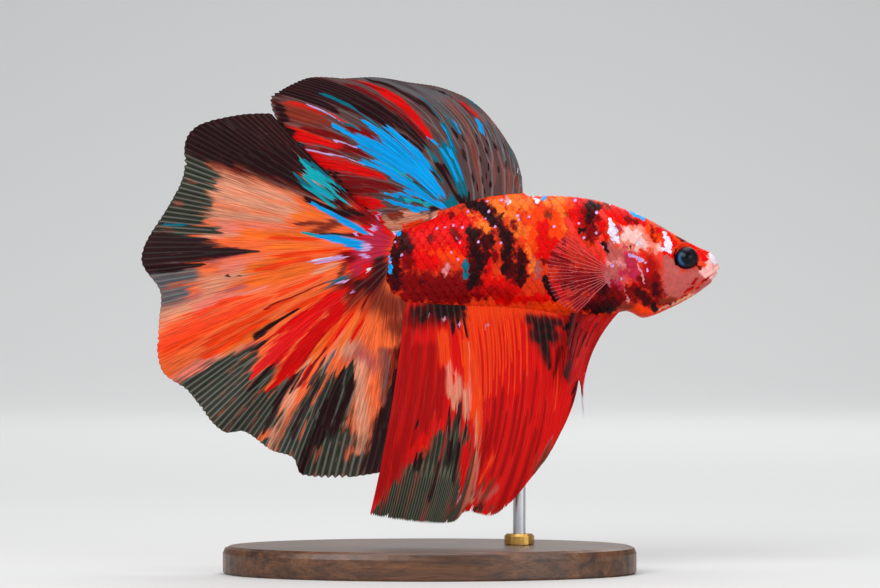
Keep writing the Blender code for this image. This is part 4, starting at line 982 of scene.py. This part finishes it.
def rayed_sheet(name, place, marks, material, rays, forks, grid, root=0.06, stretch=0.5, fringe=FIN_FRINGE,
                thick=(0.16, 0.05), ray_thick=(0.26, 0.08), ray_wide=(0.15, 0.05), flame=FIN_FLAME,
                fleshy=0.0):
    """A closed fin on place(u, r). Its two faces stand off the middle sheet, further on the rays.

    The pairs are a membrane's thickness and a ray's thickness and width, at the root and at the tip.
    """
    across, out = grid
    u, r = np.meshgrid(np.linspace(0.0, 1.0, across + 1), np.linspace(-root, 1.0, out + 1), indexing="ij")
    share, rounds = np.clip(r, 0.0, 1.0), u * rays
    tips = 2 ** len(forks)
    tip_away = forked(u, np.ones_like(r), rays, forks) * 2 * tips
    worn = 0.4 + 0.6 * np.abs(wander(rounds * tips * 0.7, 5.0))
    worn = worn + 2.2 * ease(wander(rounds * 1.7, 8.0) * 3 - 1.9)
    middle = place(u, r * (1 - fringe * worn * ease(tip_away)))
    along_u, along_r = np.gradient(middle, axis=0), np.gradient(middle, axis=1)
    crossed = np.cross(along_u, along_r)
    normals = unit(crossed)
    normals *= np.sign(normals[..., 1:2].mean()) or 1.0
    spread = np.linalg.norm(along_u, axis=-1) * across
    away = forked(u, share, rays, forks) / rays * spread
    ray = 1 - ease((away / between(ray_wide, share) - 0.5) / 0.9)
    half = (between(thick, share ** 0.6) + ray * (between(ray_thick, share ** 0.7) - thick[1])) / 2
    half = half + fleshy * (1 - ease((r + root) / 0.2))
    side_near = np.minimum(u, 1 - u)
    rim_near = np.minimum(side_near * across, (1 - r) * out / (1 + root))
    half = half * between((0.35, 1.0), ease(rim_near / 1.5))
    if fleshy:
        half = half * between((0.2, 1.0), ease(side_near / 0.12))
    points = np.concatenate([(middle + side * normals * half[..., None]).reshape(-1, 3) for side in (-1, 1)])
    quads, _ = grid_faces(across + 1, out + 1)
    numbers = np.arange(u.size).reshape(u.shape)
    rim = np.concatenate((numbers[:-1, 0], numbers[-1, :-1], numbers[:0:-1, -1], numbers[0, :0:-1]))
    beside = np.roll(rim, -1)
    faces = np.concatenate((quads, (quads + u.size)[:, ::-1],
                            np.stack((rim, rim + u.size, beside + u.size, beside), -1)))
    if crossed[..., 1].mean() > 0:
        faces = faces[:, ::-1]
    flat = middle[..., (0, 2)].reshape(-1, 2)
    flat = (flat - flat.min(0)) / (np.ptp(flat, axis=0).max() * 2.04) + 0.005
    on_back = np.repeat(np.arange(len(faces)) // len(quads) == 1, 4)
    places = flat[faces.ravel() % u.size] + np.where(on_back, 0.5, 0.0)[:, None] * (1.0, 0.0)
    lick = sum(size * wander(rounds * steps, seed) for size, steps, seed in FLAME_LICKS)
    drawn_r = r + flame * between((0.3, 1.0), ease(r / 0.6)) * lick
    drawn_u = u + (0.05 * wander(r * 8 + 31 * u, 4.0) + 0.03 * wander(r * 21 + 77 * u, 6.0)) / rays
    shares = {pigment: np.array(strokes) / 1000 for pigment, strokes in marks.items()}
    found = marks_at(shares, drawn_u, drawn_r, stretch)
    traits = {pigment: np.tile(values.ravel(), 2) for pigment, values in found.items()}
    traits["ray"] = np.tile(ray.ravel(), 2)
    lay = np.stack((u * spread.max() * 0.8, r * np.linalg.norm(along_r, axis=-1).mean() * out, 0 * u), -1)
    traits["lay"] = np.tile(lay.reshape(-1, 3), (2, 1))
    return joined_piece(name, points, faces, material, traits, places)


def fin_finish(name, ground, ground_opacity, ray_colour, ground_lines, drawn_out=9.0, raggedness=1.4,
               ray_opacity=0.9):
    """A fin's finish: pigment drawn out along the rays, fine streaks, and rays that show in thin colours."""
    material, tree, shader = finish_of(name, Subsurface_Weight=0.1, Subsurface_Scale=0.0003,
                                       Specular_IOR_Level=0.08, Subsurface_Radius=(1.0, 0.5, 0.35))
    mixed = shader_node(tree, "Group", node_tree=pigments)
    for socket, value in (("Ground", tint(*ground)), ("Ground Opacity", ground_opacity),
                          ("Ground Lines", ground_lines), ("Grain", 2.4), ("Drawn Out", drawn_out),
                          ("Raggedness", raggedness), ("Edge", 0.085)):
        mixed.inputs[socket].default_value = value
    ray = trait_of(tree, "ray")
    drawn = stretched(tree, trait_of(tree, "lay", "Vector"), (1.0, 0.06, 1.0))
    streaks = noise(tree, drawn, 3.6, 4.0, 0.6)["Fac"]
    shaded = scaled(tree, mixed.outputs["Color"], remapped(tree, streaks, (0.38, 0.62), (0.62, 1.16)))
    shown = maths(tree, "MULTIPLY", ray, mixed.outputs["Lines"])
    solid = maths(tree, "MAXIMUM", mixed.outputs["Opacity"], maths(tree, "MULTIPLY", ray, ray_opacity))
    for socket, value in (("Base Color", laid_over(tree, shown, shaded, tint(*ray_colour), "RGBA")),
                          ("Alpha", solid), ("Roughness", mixed.outputs["Roughness"])):
        tree.links.new(value, shader.inputs[socket])
    textured(tree, shader, streaks, 0.5, 0.00004)
    return material


def swell(u, r, height, power, turns, start):
    """How far one train of folds pushes a fin aside: nothing at its root and most at its edge."""
    return height * np.maximum(r, 0.0) ** power * np.sin(turns * u + start)


def caudal_place(u, r):
    turn = between(CAUDAL_TURN, u)
    far = along(CAUDAL_REACH, turn)
    tuck = ease((u + TUCK_SHARE - 1) / TUCK_SHARE)
    turn, foot = np.radians(turn + CAUDAL_TUCK * tuck), np.radians(between(CAUDAL_ROOT_TURN, u))
    centre = np.array(CAUDAL_CENTRE)
    tip = centre + np.stack((far * np.cos(turn), far * np.sin(turn)), -1)
    root = centre + np.stack((CAUDAL_ROOT[0] * np.cos(foot) + TUCK_FOOT[0] * tuck ** 2,
                              CAUDAL_ROOT[1] * np.sin(foot) + TUCK_FOOT[1] * tuck), -1)
    flat = bowed(root, tip, between(CAUDAL_BOW, u) + TUCK_BOW * tuck, r)
    lean = between(CAUDAL_LEAN, ease(u)) * ease(r * 2.2)
    fold = swell(u, r, *CAUDAL_FOLD) + swell(u, r, *CAUDAL_RIPPLE)
    return np.stack((flat[..., 0], lean + fold, flat[..., 1]), -1)


tail_finish = fin_finish("tail_fin_membrane", (252, 108, 52), 0.97, (146, 148, 138), 0.05)
tail_fin = rayed_sheet("tail_fin", caudal_place, CAUDAL_MARKS, tail_finish, CAUDAL_RAYS, CAUDAL_FORKS,
                       (416, 100), root=0.05, fleshy=0.7)
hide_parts("caudal_fin")
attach(tail_fin, "root")


# The dorsal fin: a sail on the rear half of the back, whose forked rays sweep back over the tail fin and end
# in a short lobe that lies over the tail stalk.
DORSAL_COUNT, DORSAL_FORKS = 12, (0.18, 0.4, 0.64)
DORSAL_LEAN, DORSAL_FOLD, DORSAL_RIPPLE = 1.5, (0.55, 1.5, 13.0, 0.6), (0.08, 2, 75.0, 0.0)
# A tall fin's rays: (how far along the fin, share of its base, tip's x, tip's z, bow).
DORSAL_RAYS = ((0.0, 0.0, 11.6, 49.9, 0.0), (0.07, 0.08, 10.3, 53.4, 0.5), (0.18, 0.18, 6.3, 58.6, 1.2),
               (0.28, 0.36, 1.9, 60.9, 2.1), (0.38, 0.5, -3.1, 61.8, 2.9), (0.46, 0.6, -6.9, 62.4, 3.6),
               (0.53, 0.68, -10.7, 62.3, 3.5), (0.6, 0.76, -15.1, 62.4, 3.1), (0.67, 0.84, -18.4, 61.0, 2.6),
               (0.71, 0.9, -20.1, 59.7, 2.2), (0.77, 0.95, -18.6, 55.9, 1.7), (0.89, 0.98, -12.4, 49.0, 1.0),
               (1.0, 1.0, -6.4, 43.1, -0.9))
DORSAL_MARKS = {
    "clay": (
        (150, 760, 12, 140, 1000, 25), (360, 440, 10, 340, 860, 18), (240, 700, 12, 240, 840, 14),
        (405, 80, 20, 390, 400, 20), (170, 20, 22, 165, 260, 18), (20, 60, 20, 80, 200, 30),
        (220, 60, 10, 220, 400, 10), (280, 100, 8, 270, 360, 10),
    ),
    "peach": ((980, 220, 14, 985, 900, 20), (965, 40, 20, 1000, 120, 25), (965, 300, 8, 960, 500, 10)),
    "orange": ((940, 10, 20, 1000, 20, 20), (775, 740, 8, 770, 900, 10), (990, 300, 6, 990, 600, 8)),
    "red": (
        (565, 380, 8, 550, 560, 18), (550, 560, 18, 520, 940, 12), (780, 680, 12, 780, 960, 18),
        (840, 460, 12, 845, 620, 20), (845, 600, 20, 840, 960, 20), (930, 660, 10, 930, 920, 20),
        (700, 640, 4, 700, 720, 5), (262, 740, 10, 280, 860, 10), (820, 860, 12, 820, 1000, 12),
        (960, 820, 12, 990, 960, 20), (710, 760, 8, 710, 920, 8),
    ),
    "crimson": (
        (582, 380, 8, 575, 860, 12), (770, 540, 18, 780, 640, 14), (880, 420, 12, 885, 1000, 20),
        (285, 720, 10, 300, 820, 10), (700, 500, 12, 710, 600, 10), (755, 640, 8, 755, 840, 10),
        (805, 700, 5, 810, 950, 6), (900, 620, 10, 905, 900, 12), (530, 800, 6, 535, 960, 8),
    ),
    "slate": (
        (50, 500, 20, 40, 1000, 30), (120, 400, 12, 90, 1000, 30), (200, 360, 14, 170, 800, 20),
        (320, 900, 30, 500, 960, 20), (440, 440, 16, 410, 800, 22), (460, 620, 12, 460, 1000, 30),
        (360, 800, 14, 400, 950, 20), (50, 200, 12, 20, 500, 20), (280, 300, 6, 260, 500, 8),
        (330, 500, 6, 310, 800, 8), (235, 550, 5, 220, 800, 8), (400, 500, 6, 380, 760, 8),
    ),
    "rust": (
        (725, 740, 16, 730, 940, 20), (960, 520, 8, 965, 700, 10), (100, 180, 14, 90, 320, 8),
        (400, 200, 8, 390, 360, 8), (880, 20, 12, 940, 20, 10),
    ),
    "black": (
        (640, 500, 14, 640, 1080, 34), (605, 320, 10, 615, 1080, 22), (490, 500, 6, 492, 920, 8),
        (680, 740, 8, 685, 1080, 14), (620, 40, 12, 610, 200, 12), (510, 20, 10, 600, 20, 14),
        (200, 270, 4, 190, 340, 6), (235, 420, 4, 230, 480, 5), (175, 520, 5, 170, 600, 6),
        (310, 70, 6, 310, 90, 6), (312, 200, 6, 310, 220, 6), (305, 320, 6, 302, 340, 6),
        (370, 100, 5, 370, 130, 5), (360, 250, 5, 358, 280, 5), (250, 200, 4, 250, 240, 4),
        (350, 40, 6, 355, 50, 6), (420, 50, 6, 425, 70, 6), (335, 140, 4, 335, 170, 4),
        (450, 90, 7, 455, 120, 7), (470, 220, 6, 467, 270, 6), (435, 340, 4, 430, 380, 4),
        (460, 360, 4, 455, 420, 4), (280, 420, 4, 278, 470, 4), (340, 420, 4, 335, 470, 4),
        (920, 60, 16, 955, 140, 8), (875, 140, 6, 910, 240, 10), (720, 970, 12, 860, 970, 12),
        (910, 240, 6, 915, 360, 3), (575, 100, 6, 585, 200, 6), (630, 300, 4, 635, 420, 4),
        (650, 140, 5, 655, 200, 4), (740, 120, 4, 770, 260, 6), (860, 900, 6, 940, 930, 10),
        (520, 160, 6, 520, 220, 6), (545, 40, 6, 550, 100, 6), (300, 860, 4, 320, 940, 6),
    ),
    "blush": ((160, 840, 2, 150, 980, 3),),
    "teal": (
        (530, 60, 18, 525, 300, 20), (560, 60, 16, 560, 280, 14), (500, 280, 10, 480, 460, 8),
        (640, 20, 14, 720, 20, 12), (670, 440, 3, 645, 840, 4), (215, 860, 6, 220, 1000, 14),
        (475, 500, 4, 468, 700, 4), (750, 80, 10, 790, 300, 12), (440, 380, 8, 430, 520, 6),
        (115, 550, 5, 120, 800, 5), (700, 580, 3, 703, 800, 3), (605, 220, 5, 600, 300, 6),
        (920, 320, 6, 915, 460, 6), (640, 120, 6, 645, 300, 6), (790, 960, 3, 880, 980, 4),
    ),
    "turquoise": ((870, 60, 14, 915, 160, 12), (900, 200, 10, 915, 340, 10), (760, 220, 6, 765, 400, 6)),
    "azure": (
        (740, 30, 12, 860, 50, 20), (655, 220, 16, 650, 460, 10), (690, 100, 20, 685, 420, 20),
        (685, 400, 16, 675, 600, 4), (720, 100, 20, 720, 460, 22), (725, 460, 16, 728, 700, 6),
        (745, 300, 12, 750, 560, 8), (800, 60, 20, 790, 300, 18), (780, 340, 20, 775, 460, 12),
        (830, 80, 25, 820, 360, 20), (805, 400, 12, 805, 560, 6), (865, 80, 20, 870, 320, 12),
        (895, 280, 8, 900, 380, 8), (285, 540, 14, 272, 660, 14), (945, 170, 8, 945, 360, 12),
        (940, 340, 12, 925, 560, 5), (550, 120, 10, 555, 280, 8), (520, 120, 5, 515, 300, 5),
        (500, 300, 3, 490, 420, 3), (560, 320, 4, 570, 360, 4), (905, 420, 5, 905, 560, 3),
        (430, 400, 4, 410, 520, 5), (530, 240, 6, 525, 300, 6),
    ),
    "lavender": (
        (703, 640, 1.5, 700, 840, 2), (815, 540, 2, 812, 900, 2.5), (760, 540, 2, 768, 720, 2),
        (955, 800, 4, 970, 880, 3),
    ),
    "white": ((75, 420, 3, 65, 600, 2),),
}


def dorsal_place(u, r):
    share, tip_x, tip_z, bow = along(DORSAL_RAYS, u)
    x = between(DORSAL_BASE_X, share)
    flat = bowed(np.stack((x, along(BACK, x) + GAP), -1), np.stack((tip_x, tip_z), -1), bow, r)
    lean = DORSAL_LEAN * ease(u * 1.4 - 0.3) * ease(r * 1.6)
    fold = swell(u, r, *DORSAL_FOLD) + swell(u, r, *DORSAL_RIPPLE)
    return np.stack((flat[..., 0], lean + fold, flat[..., 1]), -1)


dorsal_finish = fin_finish("dorsal_fin_membrane", (88, 64, 62), 0.88, (160, 142, 142), 0.34, drawn_out=5.5)
dorsal_fin = rayed_sheet("dorsal_sail", dorsal_place, DORSAL_MARKS, dorsal_finish, DORSAL_COUNT, DORSAL_FORKS,
                         (384, 96), fringe=0.01)
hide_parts("dorsal_fin")
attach(dorsal_fin, "root")


# The anal fin: the deep curtain under the body, on twenty-six rays that fork twice near its lower edge. It
# grows from a low ridge of the belly and leans a little to the right as it goes back.
ANAL_COUNT, ANAL_FORKS = 26, (0.42, 0.68)
ANAL_LEAN, ANAL_FOLD, ANAL_RIPPLE = -1.3, (0.6, 1.4, 17.0, -0.4), (0.1, 1.5, 82.0, 0.0)
ANAL_RAYS = ((0.0, 0.0, 16.6, 18.0, 1.6), (0.06, 0.06, 14.8, 14.6, 1.75), (0.13, 0.13, 12.6, 11.7, 1.8),
             (0.22, 0.22, 10.1, 8.8, 1.9), (0.3, 0.3, 7.8, 7.2, 2.0), (0.4, 0.4, 5.8, 7.5, 2.1),
             (0.5, 0.5, 4.3, 7.6, 2.1), (0.6, 0.6, 3.1, 6.5, 2.1), (0.7, 0.7, 1.0, 6.3, 1.9),
             (0.8, 0.8, -1.5, 6.4, 1.5), (0.9, 0.9, -4.7, 6.8, 0.9), (1.0, 1.0, -7.5, 7.4, 0.5))
ANAL_MARKS = {
    "flesh": (
        (715, 360, 12, 720, 460, 10), (620, 500, 10, 600, 620, 10), (350, 880, 20, 500, 930, 20),
        (540, 940, 30, 600, 980, 14), (100, 820, 12, 100, 920, 20),
    ),
    "peach": (
        (680, 360, 10, 625, 500, 8), (615, 520, 8, 580, 720, 10), (575, 740, 12, 550, 980, 30),
        (720, 340, 10, 715, 420, 8), (760, 340, 14, 758, 440, 8), (690, 400, 12, 675, 500, 14),
        (738, 340, 14, 740, 440, 12), (600, 540, 12, 580, 720, 10), (460, 930, 10, 540, 970, 20),
        (612, 140, 3, 620, 400, 4), (656, 160, 4, 668, 340, 5), (536, 300, 3, 538, 440, 4),
    ),
    "salmon": (
        (625, 260, 8, 610, 500, 12), (600, 480, 12, 580, 660, 12), (668, 300, 10, 655, 460, 12),
        (770, 280, 16, 765, 400, 12), (735, 300, 12, 730, 380, 14), (560, 720, 10, 500, 900, 12),
    ),
    "amber": (
        (790, 150, 20, 785, 250, 16), (640, 200, 10, 630, 480, 12), (676, 160, 8, 680, 340, 8),
        (610, 360, 6, 605, 560, 8),
    ),
    "orange": (
        (100, 0, 20, 450, 0, 60), (450, 20, 60, 640, 40, 70), (395, 60, 12, 390, 240, 4),
        (420, 80, 6, 428, 280, 3), (470, 80, 8, 465, 320, 3), (500, 100, 8, 505, 360, 4),
        (530, 120, 8, 540, 460, 5), (565, 60, 10, 574, 420, 5), (615, 100, 12, 622, 460, 12),
        (640, 120, 10, 640, 500, 16), (670, 140, 12, 675, 360, 14), (790, 140, 26, 785, 260, 22),
        (420, 700, 6, 470, 840, 12), (118, 260, 3, 120, 600, 4), (590, 500, 10, 585, 660, 10),
        (600, 420, 14, 600, 500, 12), (445, 80, 4, 446, 200, 3), (700, 120, 6, 695, 280, 6),
        (800, 620, 8, 840, 680, 10), (340, 60, 6, 340, 200, 3),
    ),
    "crimson": (
        (0, 40, 50, 50, 360, 50), (100, 220, 20, 140, 360, 12), (840, 60, 40, 950, 80, 45),
        (20, 550, 10, 0, 750, 20),
    ),
    "brick": (
        (845, 200, 22, 860, 600, 16), (905, 200, 24, 930, 800, 24), (970, 160, 24, 985, 900, 24),
        (630, 740, 12, 625, 820, 10), (900, 400, 12, 950, 750, 20), (790, 300, 12, 800, 520, 14),
        (275, 500, 8, 285, 950, 20), (350, 420, 10, 345, 800, 14), (490, 460, 14, 480, 700, 24),
        (210, 600, 10, 215, 950, 16), (820, 400, 10, 850, 600, 12), (240, 300, 8, 250, 550, 8),
        (310, 300, 6, 315, 700, 10), (440, 400, 10, 440, 680, 18), (810, 300, 12, 820, 500, 16),
        (530, 600, 18, 510, 780, 22), (860, 200, 10, 890, 640, 12), (940, 200, 12, 980, 700, 20),
        (180, 500, 6, 170, 800, 10), (400, 500, 8, 400, 800, 12),
    ),
    "rust": (
        (370, 800, 10, 400, 920, 20), (430, 840, 8, 460, 920, 12), (100, 840, 10, 100, 980, 30),
        (20, 920, 20, 50, 1000, 20), (330, 970, 14, 250, 1000, 10), (605, 640, 5, 595, 840, 8),
        (150, 820, 6, 140, 920, 6), (820, 640, 5, 840, 680, 6),
    ),
    "smoke": (
        (720, 490, 10, 730, 600, 35), (730, 600, 40, 730, 800, 60), (730, 820, 70, 720, 1060, 90),
        (630, 920, 30, 650, 1060, 50), (670, 540, 8, 670, 620, 20), (790, 600, 20, 800, 720, 30),
        (810, 720, 40, 830, 1060, 60), (870, 760, 30, 890, 1060, 45), (915, 850, 28, 940, 1060, 40),
        (120, 940, 15, 70, 1000, 20), (370, 970, 10, 430, 980, 12), (860, 720, 10, 865, 800, 12),
        (605, 660, 8, 610, 1000, 20), (640, 600, 10, 660, 900, 30), (970, 970, 20, 990, 1050, 20),
    ),
    "red": ((720, 150, 14, 722, 270, 14), (745, 300, 6, 745, 340, 4)),
    "scarlet": ((650, 620, 12, 652, 700, 20), (650, 700, 22, 634, 820, 12)),
    "maroon": (
        (90, 60, 30, 260, 50, 30), (140, 140, 50, 240, 120, 40), (190, 180, 35, 165, 320, 12),
        (840, 20, 30, 940, 40, 30), (0, 100, 30, 30, 400, 30), (660, 40, 20, 780, 40, 30),
    ),
    "black": (
        (140, 90, 20, 220, 80, 20), (160, 140, 25, 210, 140, 25), (190, 180, 18, 170, 250, 6),
        (650, 0, 15, 780, 20, 50), (665, 60, 8, 660, 140, 4), (700, 60, 12, 700, 110, 4),
        (730, 80, 12, 735, 120, 6), (715, 460, 8, 712, 550, 10), (757, 500, 6, 757, 580, 8),
        (735, 600, 12, 730, 700, 18), (370, 940, 8, 420, 970, 14), (880, 540, 4, 882, 570, 4),
        (845, 710, 6, 855, 780, 12), (0, 240, 8, 60, 340, 6), (670, 550, 6, 675, 620, 6),
        (695, 640, 10, 690, 800, 14), (775, 720, 6, 780, 900, 10), (860, 720, 8, 870, 780, 6),
        (0, 500, 8, 30, 600, 6), (850, 40, 8, 900, 70, 12), (20, 60, 12, 60, 100, 12),
    ),
    "blush": ((510, 90, 4, 540, 110, 5), (770, 70, 6, 785, 70, 6), (640, 850, 4, 620, 880, 6)),
    "lavender": ((690, 80, 4, 700, 100, 4), (770, 60, 4, 780, 70, 4), (855, 50, 3, 860, 60, 3)),
}
# The roots of the middle rays are orange, down to a wavy line.
ANAL_MARKS["orange"] += tuple(
    (1000 * ray / ANAL_COUNT, 50, 6, 1000 * ray / ANAL_COUNT + 4, 200 + 240 * math.sin(0.19 * (ray - 5)), 3.5)
    for ray in np.arange(7.5, 18.0).tolist())


def anal_place(u, r):
    share, tip_x, tip_z, bow = along(ANAL_RAYS, u)
    x = between(ANAL_BASE_X, share)
    flat = bowed(np.stack((x, along(BELLY, x) - GAP), -1), np.stack((tip_x, tip_z), -1), -bow, r)
    lean = ANAL_LEAN * ease(u * 1.5 - 0.5) * ease(r * 1.5)
    fold = swell(u, r, *ANAL_FOLD) * ease(u * 6) + swell(u, r, *ANAL_RIPPLE)
    return np.stack((flat[..., 0], lean + fold, flat[..., 1]), -1)


anal_finish = fin_finish("anal_fin_membrane", (222, 4, 2), 0.98, (132, 136, 112), 0.03)
anal_fin = rayed_sheet("anal_curtain", anal_place, ANAL_MARKS, anal_finish, ANAL_COUNT, ANAL_FORKS, (416, 96),
                       root=0.03, stretch=1.0, fringe=0.016, flame=0.04)
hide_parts("anal_fin")
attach(anal_fin, "root")


# The pectoral fins: small clear pink fans behind the gill covers, on thirteen pale rays, held a little off
# the flanks. Their roots are short fleshy lobes of the skin.
PECTORAL_COUNT, PECTORAL_FORKS = 13, (0.5,)
PECTORAL_BASE, PECTORAL_NEAR, PECTORAL_OFF, PECTORAL_SUNK = 1.0, 0.5, 0.2, 0.9
PECTORAL_TURN = (142.0, 226.0)
PECTORAL_REACH = ((142.0, 7.3), (160.0, 8.0), (183.0, 8.1), (205.0, 7.5), (226.0, 6.0))
PECTORAL_FLARE = {"right": 11.0, "left": 22.0}
PECTORAL_MARKS = {
    "crimson": (
        (300, 600, 12, 250, 1000, 20), (550, 600, 10, 550, 900, 14), (780, 400, 12, 800, 800, 20),
    ),
    "black": ((180, 750, 4, 170, 950, 6),),
}


def pectoral_place(side):
    sign, flare = (-1.0 if side == "right" else 1.0), math.radians(PECTORAL_FLARE[side])

    def place(u, r):
        turn = between(PECTORAL_TURN, u)
        far = between((PECTORAL_NEAR, along(PECTORAL_REACH, turn)), r)
        x = PECTORAL_ROOT[0] + far * np.cos(np.radians(turn))
        z = PECTORAL_ROOT[1] + far * np.sin(np.radians(turn)) - (u - 0.5) * PECTORAL_BASE
        flank = along(HALF_WIDTH, PECTORAL_ROOT[0]) + GAP + PECTORAL_OFF
        y = flank + far * math.tan(flare) + 0.2 * r * np.sin(14.0 * u)
        y = y - PECTORAL_SUNK * ease((0.12 - r) / 0.3)
        return np.stack((x, sign * y, z), -1)

    return place


pectoral_finish = fin_finish("pectoral_membrane", (176, 22, 34), 0.2, (226, 122, 124), 0.9, raggedness=0.6,
                             ray_opacity=0.6)
for side in ("right", "left"):
    pectoral = rayed_sheet(f"pectoral_fan_{side}", pectoral_place(side), PECTORAL_MARKS, pectoral_finish,
                           PECTORAL_COUNT, PECTORAL_FORKS, (208, 40), root=0.1, fringe=0.03,
                           thick=(0.08, 0.03), ray_thick=(0.14, 0.05), ray_wide=(0.05, 0.035))
    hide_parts(f"pectoral_fin_{side}")
    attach(pectoral, "root")


# The pelvic fins: a pair of long blades under the throat, dark red and black, on five rays that fork twice.
# Each ends in a white thread.
PELVIC_COUNT, PELVIC_FORKS = 5, (0.3, 0.6)
PELVIC_OFF, PELVIC_SPREAD = 0.75, 1.15  # each blade's distance from the middle plane, and how much it gains
PELVIC_ROOT = ((23.0, 31.95), (17.7, 32.55))
PELVIC_RAYS = (  # (how far along the fin, tip's x, tip's z, bow)
    (0.0, 19.4, 19.0, 1.5), (0.2, 18.9, 24.0, 0.5), (0.55, 17.6, 23.5, 0.4), (1.0, 16.7, 25.0, 0.0))
PELVIC_MARKS = {
    "brick": ((100, 200, 80, 120, 700, 60), (500, 100, 60, 520, 600, 50)),
    "crimson": (
        (750, 0, 120, 800, 500, 100), (800, 600, 200, 800, 900, 200), (300, 100, 30, 330, 500, 30),
    ),
    "maroon": ((950, 0, 80, 960, 500, 60), (620, 200, 20, 640, 700, 30), (700, 720, 80, 860, 980, 120)),
    "black": (
        (980, 40, 30, 980, 360, 20), (800, 120, 14, 820, 600, 20), (450, 240, 14, 460, 620, 20),
        (860, 860, 30, 920, 1000, 50),
    ),
    "lavender": ((50, 600, 20, 30, 1000, 50),),
    "white": ((0, 800, 20, 0, 1050, 80),),
}


def pelvic_place(sign):
    def place(u, r):
        root = np.stack([between(ends, u) for ends in zip(*PELVIC_ROOT)], -1)
        tip_x, tip_z, bow = along(PELVIC_RAYS, u)
        flat = bowed(root, np.stack((tip_x, tip_z), -1), bow, r)
        y = PELVIC_OFF + PELVIC_SPREAD * ease(r * 1.2) + 0.2 * np.sin(4.0 * u + 5.0 * r) * r
        return np.stack((flat[..., 0], sign * y, flat[..., 1]), -1)

    return place


pelvic_finish = fin_finish("pelvic_membrane", (196, 4, 8), 0.96, (150, 120, 120), 0.04, drawn_out=5.0)
for side, sign in (("right", -1.0), ("left", 1.0)):
    pelvic = rayed_sheet(f"pelvic_blade_{side}", pelvic_place(sign), PELVIC_MARKS, pelvic_finish,
                         PELVIC_COUNT, PELVIC_FORKS, (60, 110), root=0.12, stretch=2.0, fringe=0.02)
    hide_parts(f"pelvic_fin_{side}")
    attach(pelvic, "root")


# The stand: an oval walnut base, oiled to a low sheen, a brushed steel rod that runs up into the belly, and a
# turned brass collar round the rod's foot.
WOOD_STRETCH = (60.0, 700.0, 700.0)  # repeats of the grain to a metre, fewest along it
WOOD_DARK, WOOD_LIGHT = (0.32, (46, 27, 17)), (0.7, (122, 78, 48))  # where in the grain, and its colour
STEEL, BRASS = (196, 198, 202), (214, 170, 92)
STEEL_LINES, BRASS_LINES = (6000.0, 6000.0, 300.0), (400.0, 400.0, 9000.0)

walnut, walnut_tree, walnut_shader = finish_of("oiled_walnut", Roughness=0.38, Coat_Weight=0.15,
                                               Coat_Roughness=0.3)
walnut_drawn = stretched(walnut_tree, shader_node(walnut_tree, "TexCoord").outputs["Object"], WOOD_STRETCH)
walnut_bands = noise(walnut_tree, walnut_drawn, 1.0, 6.0, 0.65, 0.6)["Fac"]
walnut_pores = noise(walnut_tree, walnut_drawn, 7.0, 3.0)["Fac"]
walnut_colours = shader_node(walnut_tree, "ValToRGB", {"Fac": walnut_bands})
for element, (place, colour) in zip(walnut_colours.color_ramp.elements, (WOOD_DARK, WOOD_LIGHT)):
    element.position, element.color = place, tint(*colour)
pore_mask = remapped(walnut_tree, walnut_pores, (0.35, 0.5), (0.6, 1.0))
walnut_shaded = scaled(walnut_tree, walnut_colours.outputs["Color"], pore_mask)
walnut_tree.links.new(walnut_shaded, walnut_shader.inputs["Base Color"])
textured(walnut_tree, walnut_shader, walnut_pores, 0.35, 0.00005)


def turned_metal(name, colour, roughness, lines):
    """Metal with fine turning or drawing marks, squeezed along the given ways."""
    material, tree, shader = finish_of(name, Base_Color=tint(*colour), Metallic=1.0)
    drawn = stretched(tree, shader_node(tree, "TexCoord").outputs["Object"], lines)
    marks = noise(tree, drawn, 1.0, 4.0)["Fac"]
    rough = remapped(tree, marks, (0.0, 1.0), (roughness - 0.1, roughness + 0.15))
    tree.links.new(rough, shader.inputs["Roughness"])
    textured(tree, shader, marks, 0.3, 0.00002)
    return material


stand_finishes = {
    "stand_base": (walnut, "stand_wood"),
    "stand_rod": (turned_metal("brushed_steel", STEEL, 0.3, STEEL_LINES), "stand_steel"),
    "stand_collar": (turned_metal("turned_brass", BRASS, 0.28, BRASS_LINES), "stand_brass"),
}
for node, (material, slot) in stand_finishes.items():
    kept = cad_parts[node]
    kept.data.materials.clear()
    kept.data.materials.append(material)
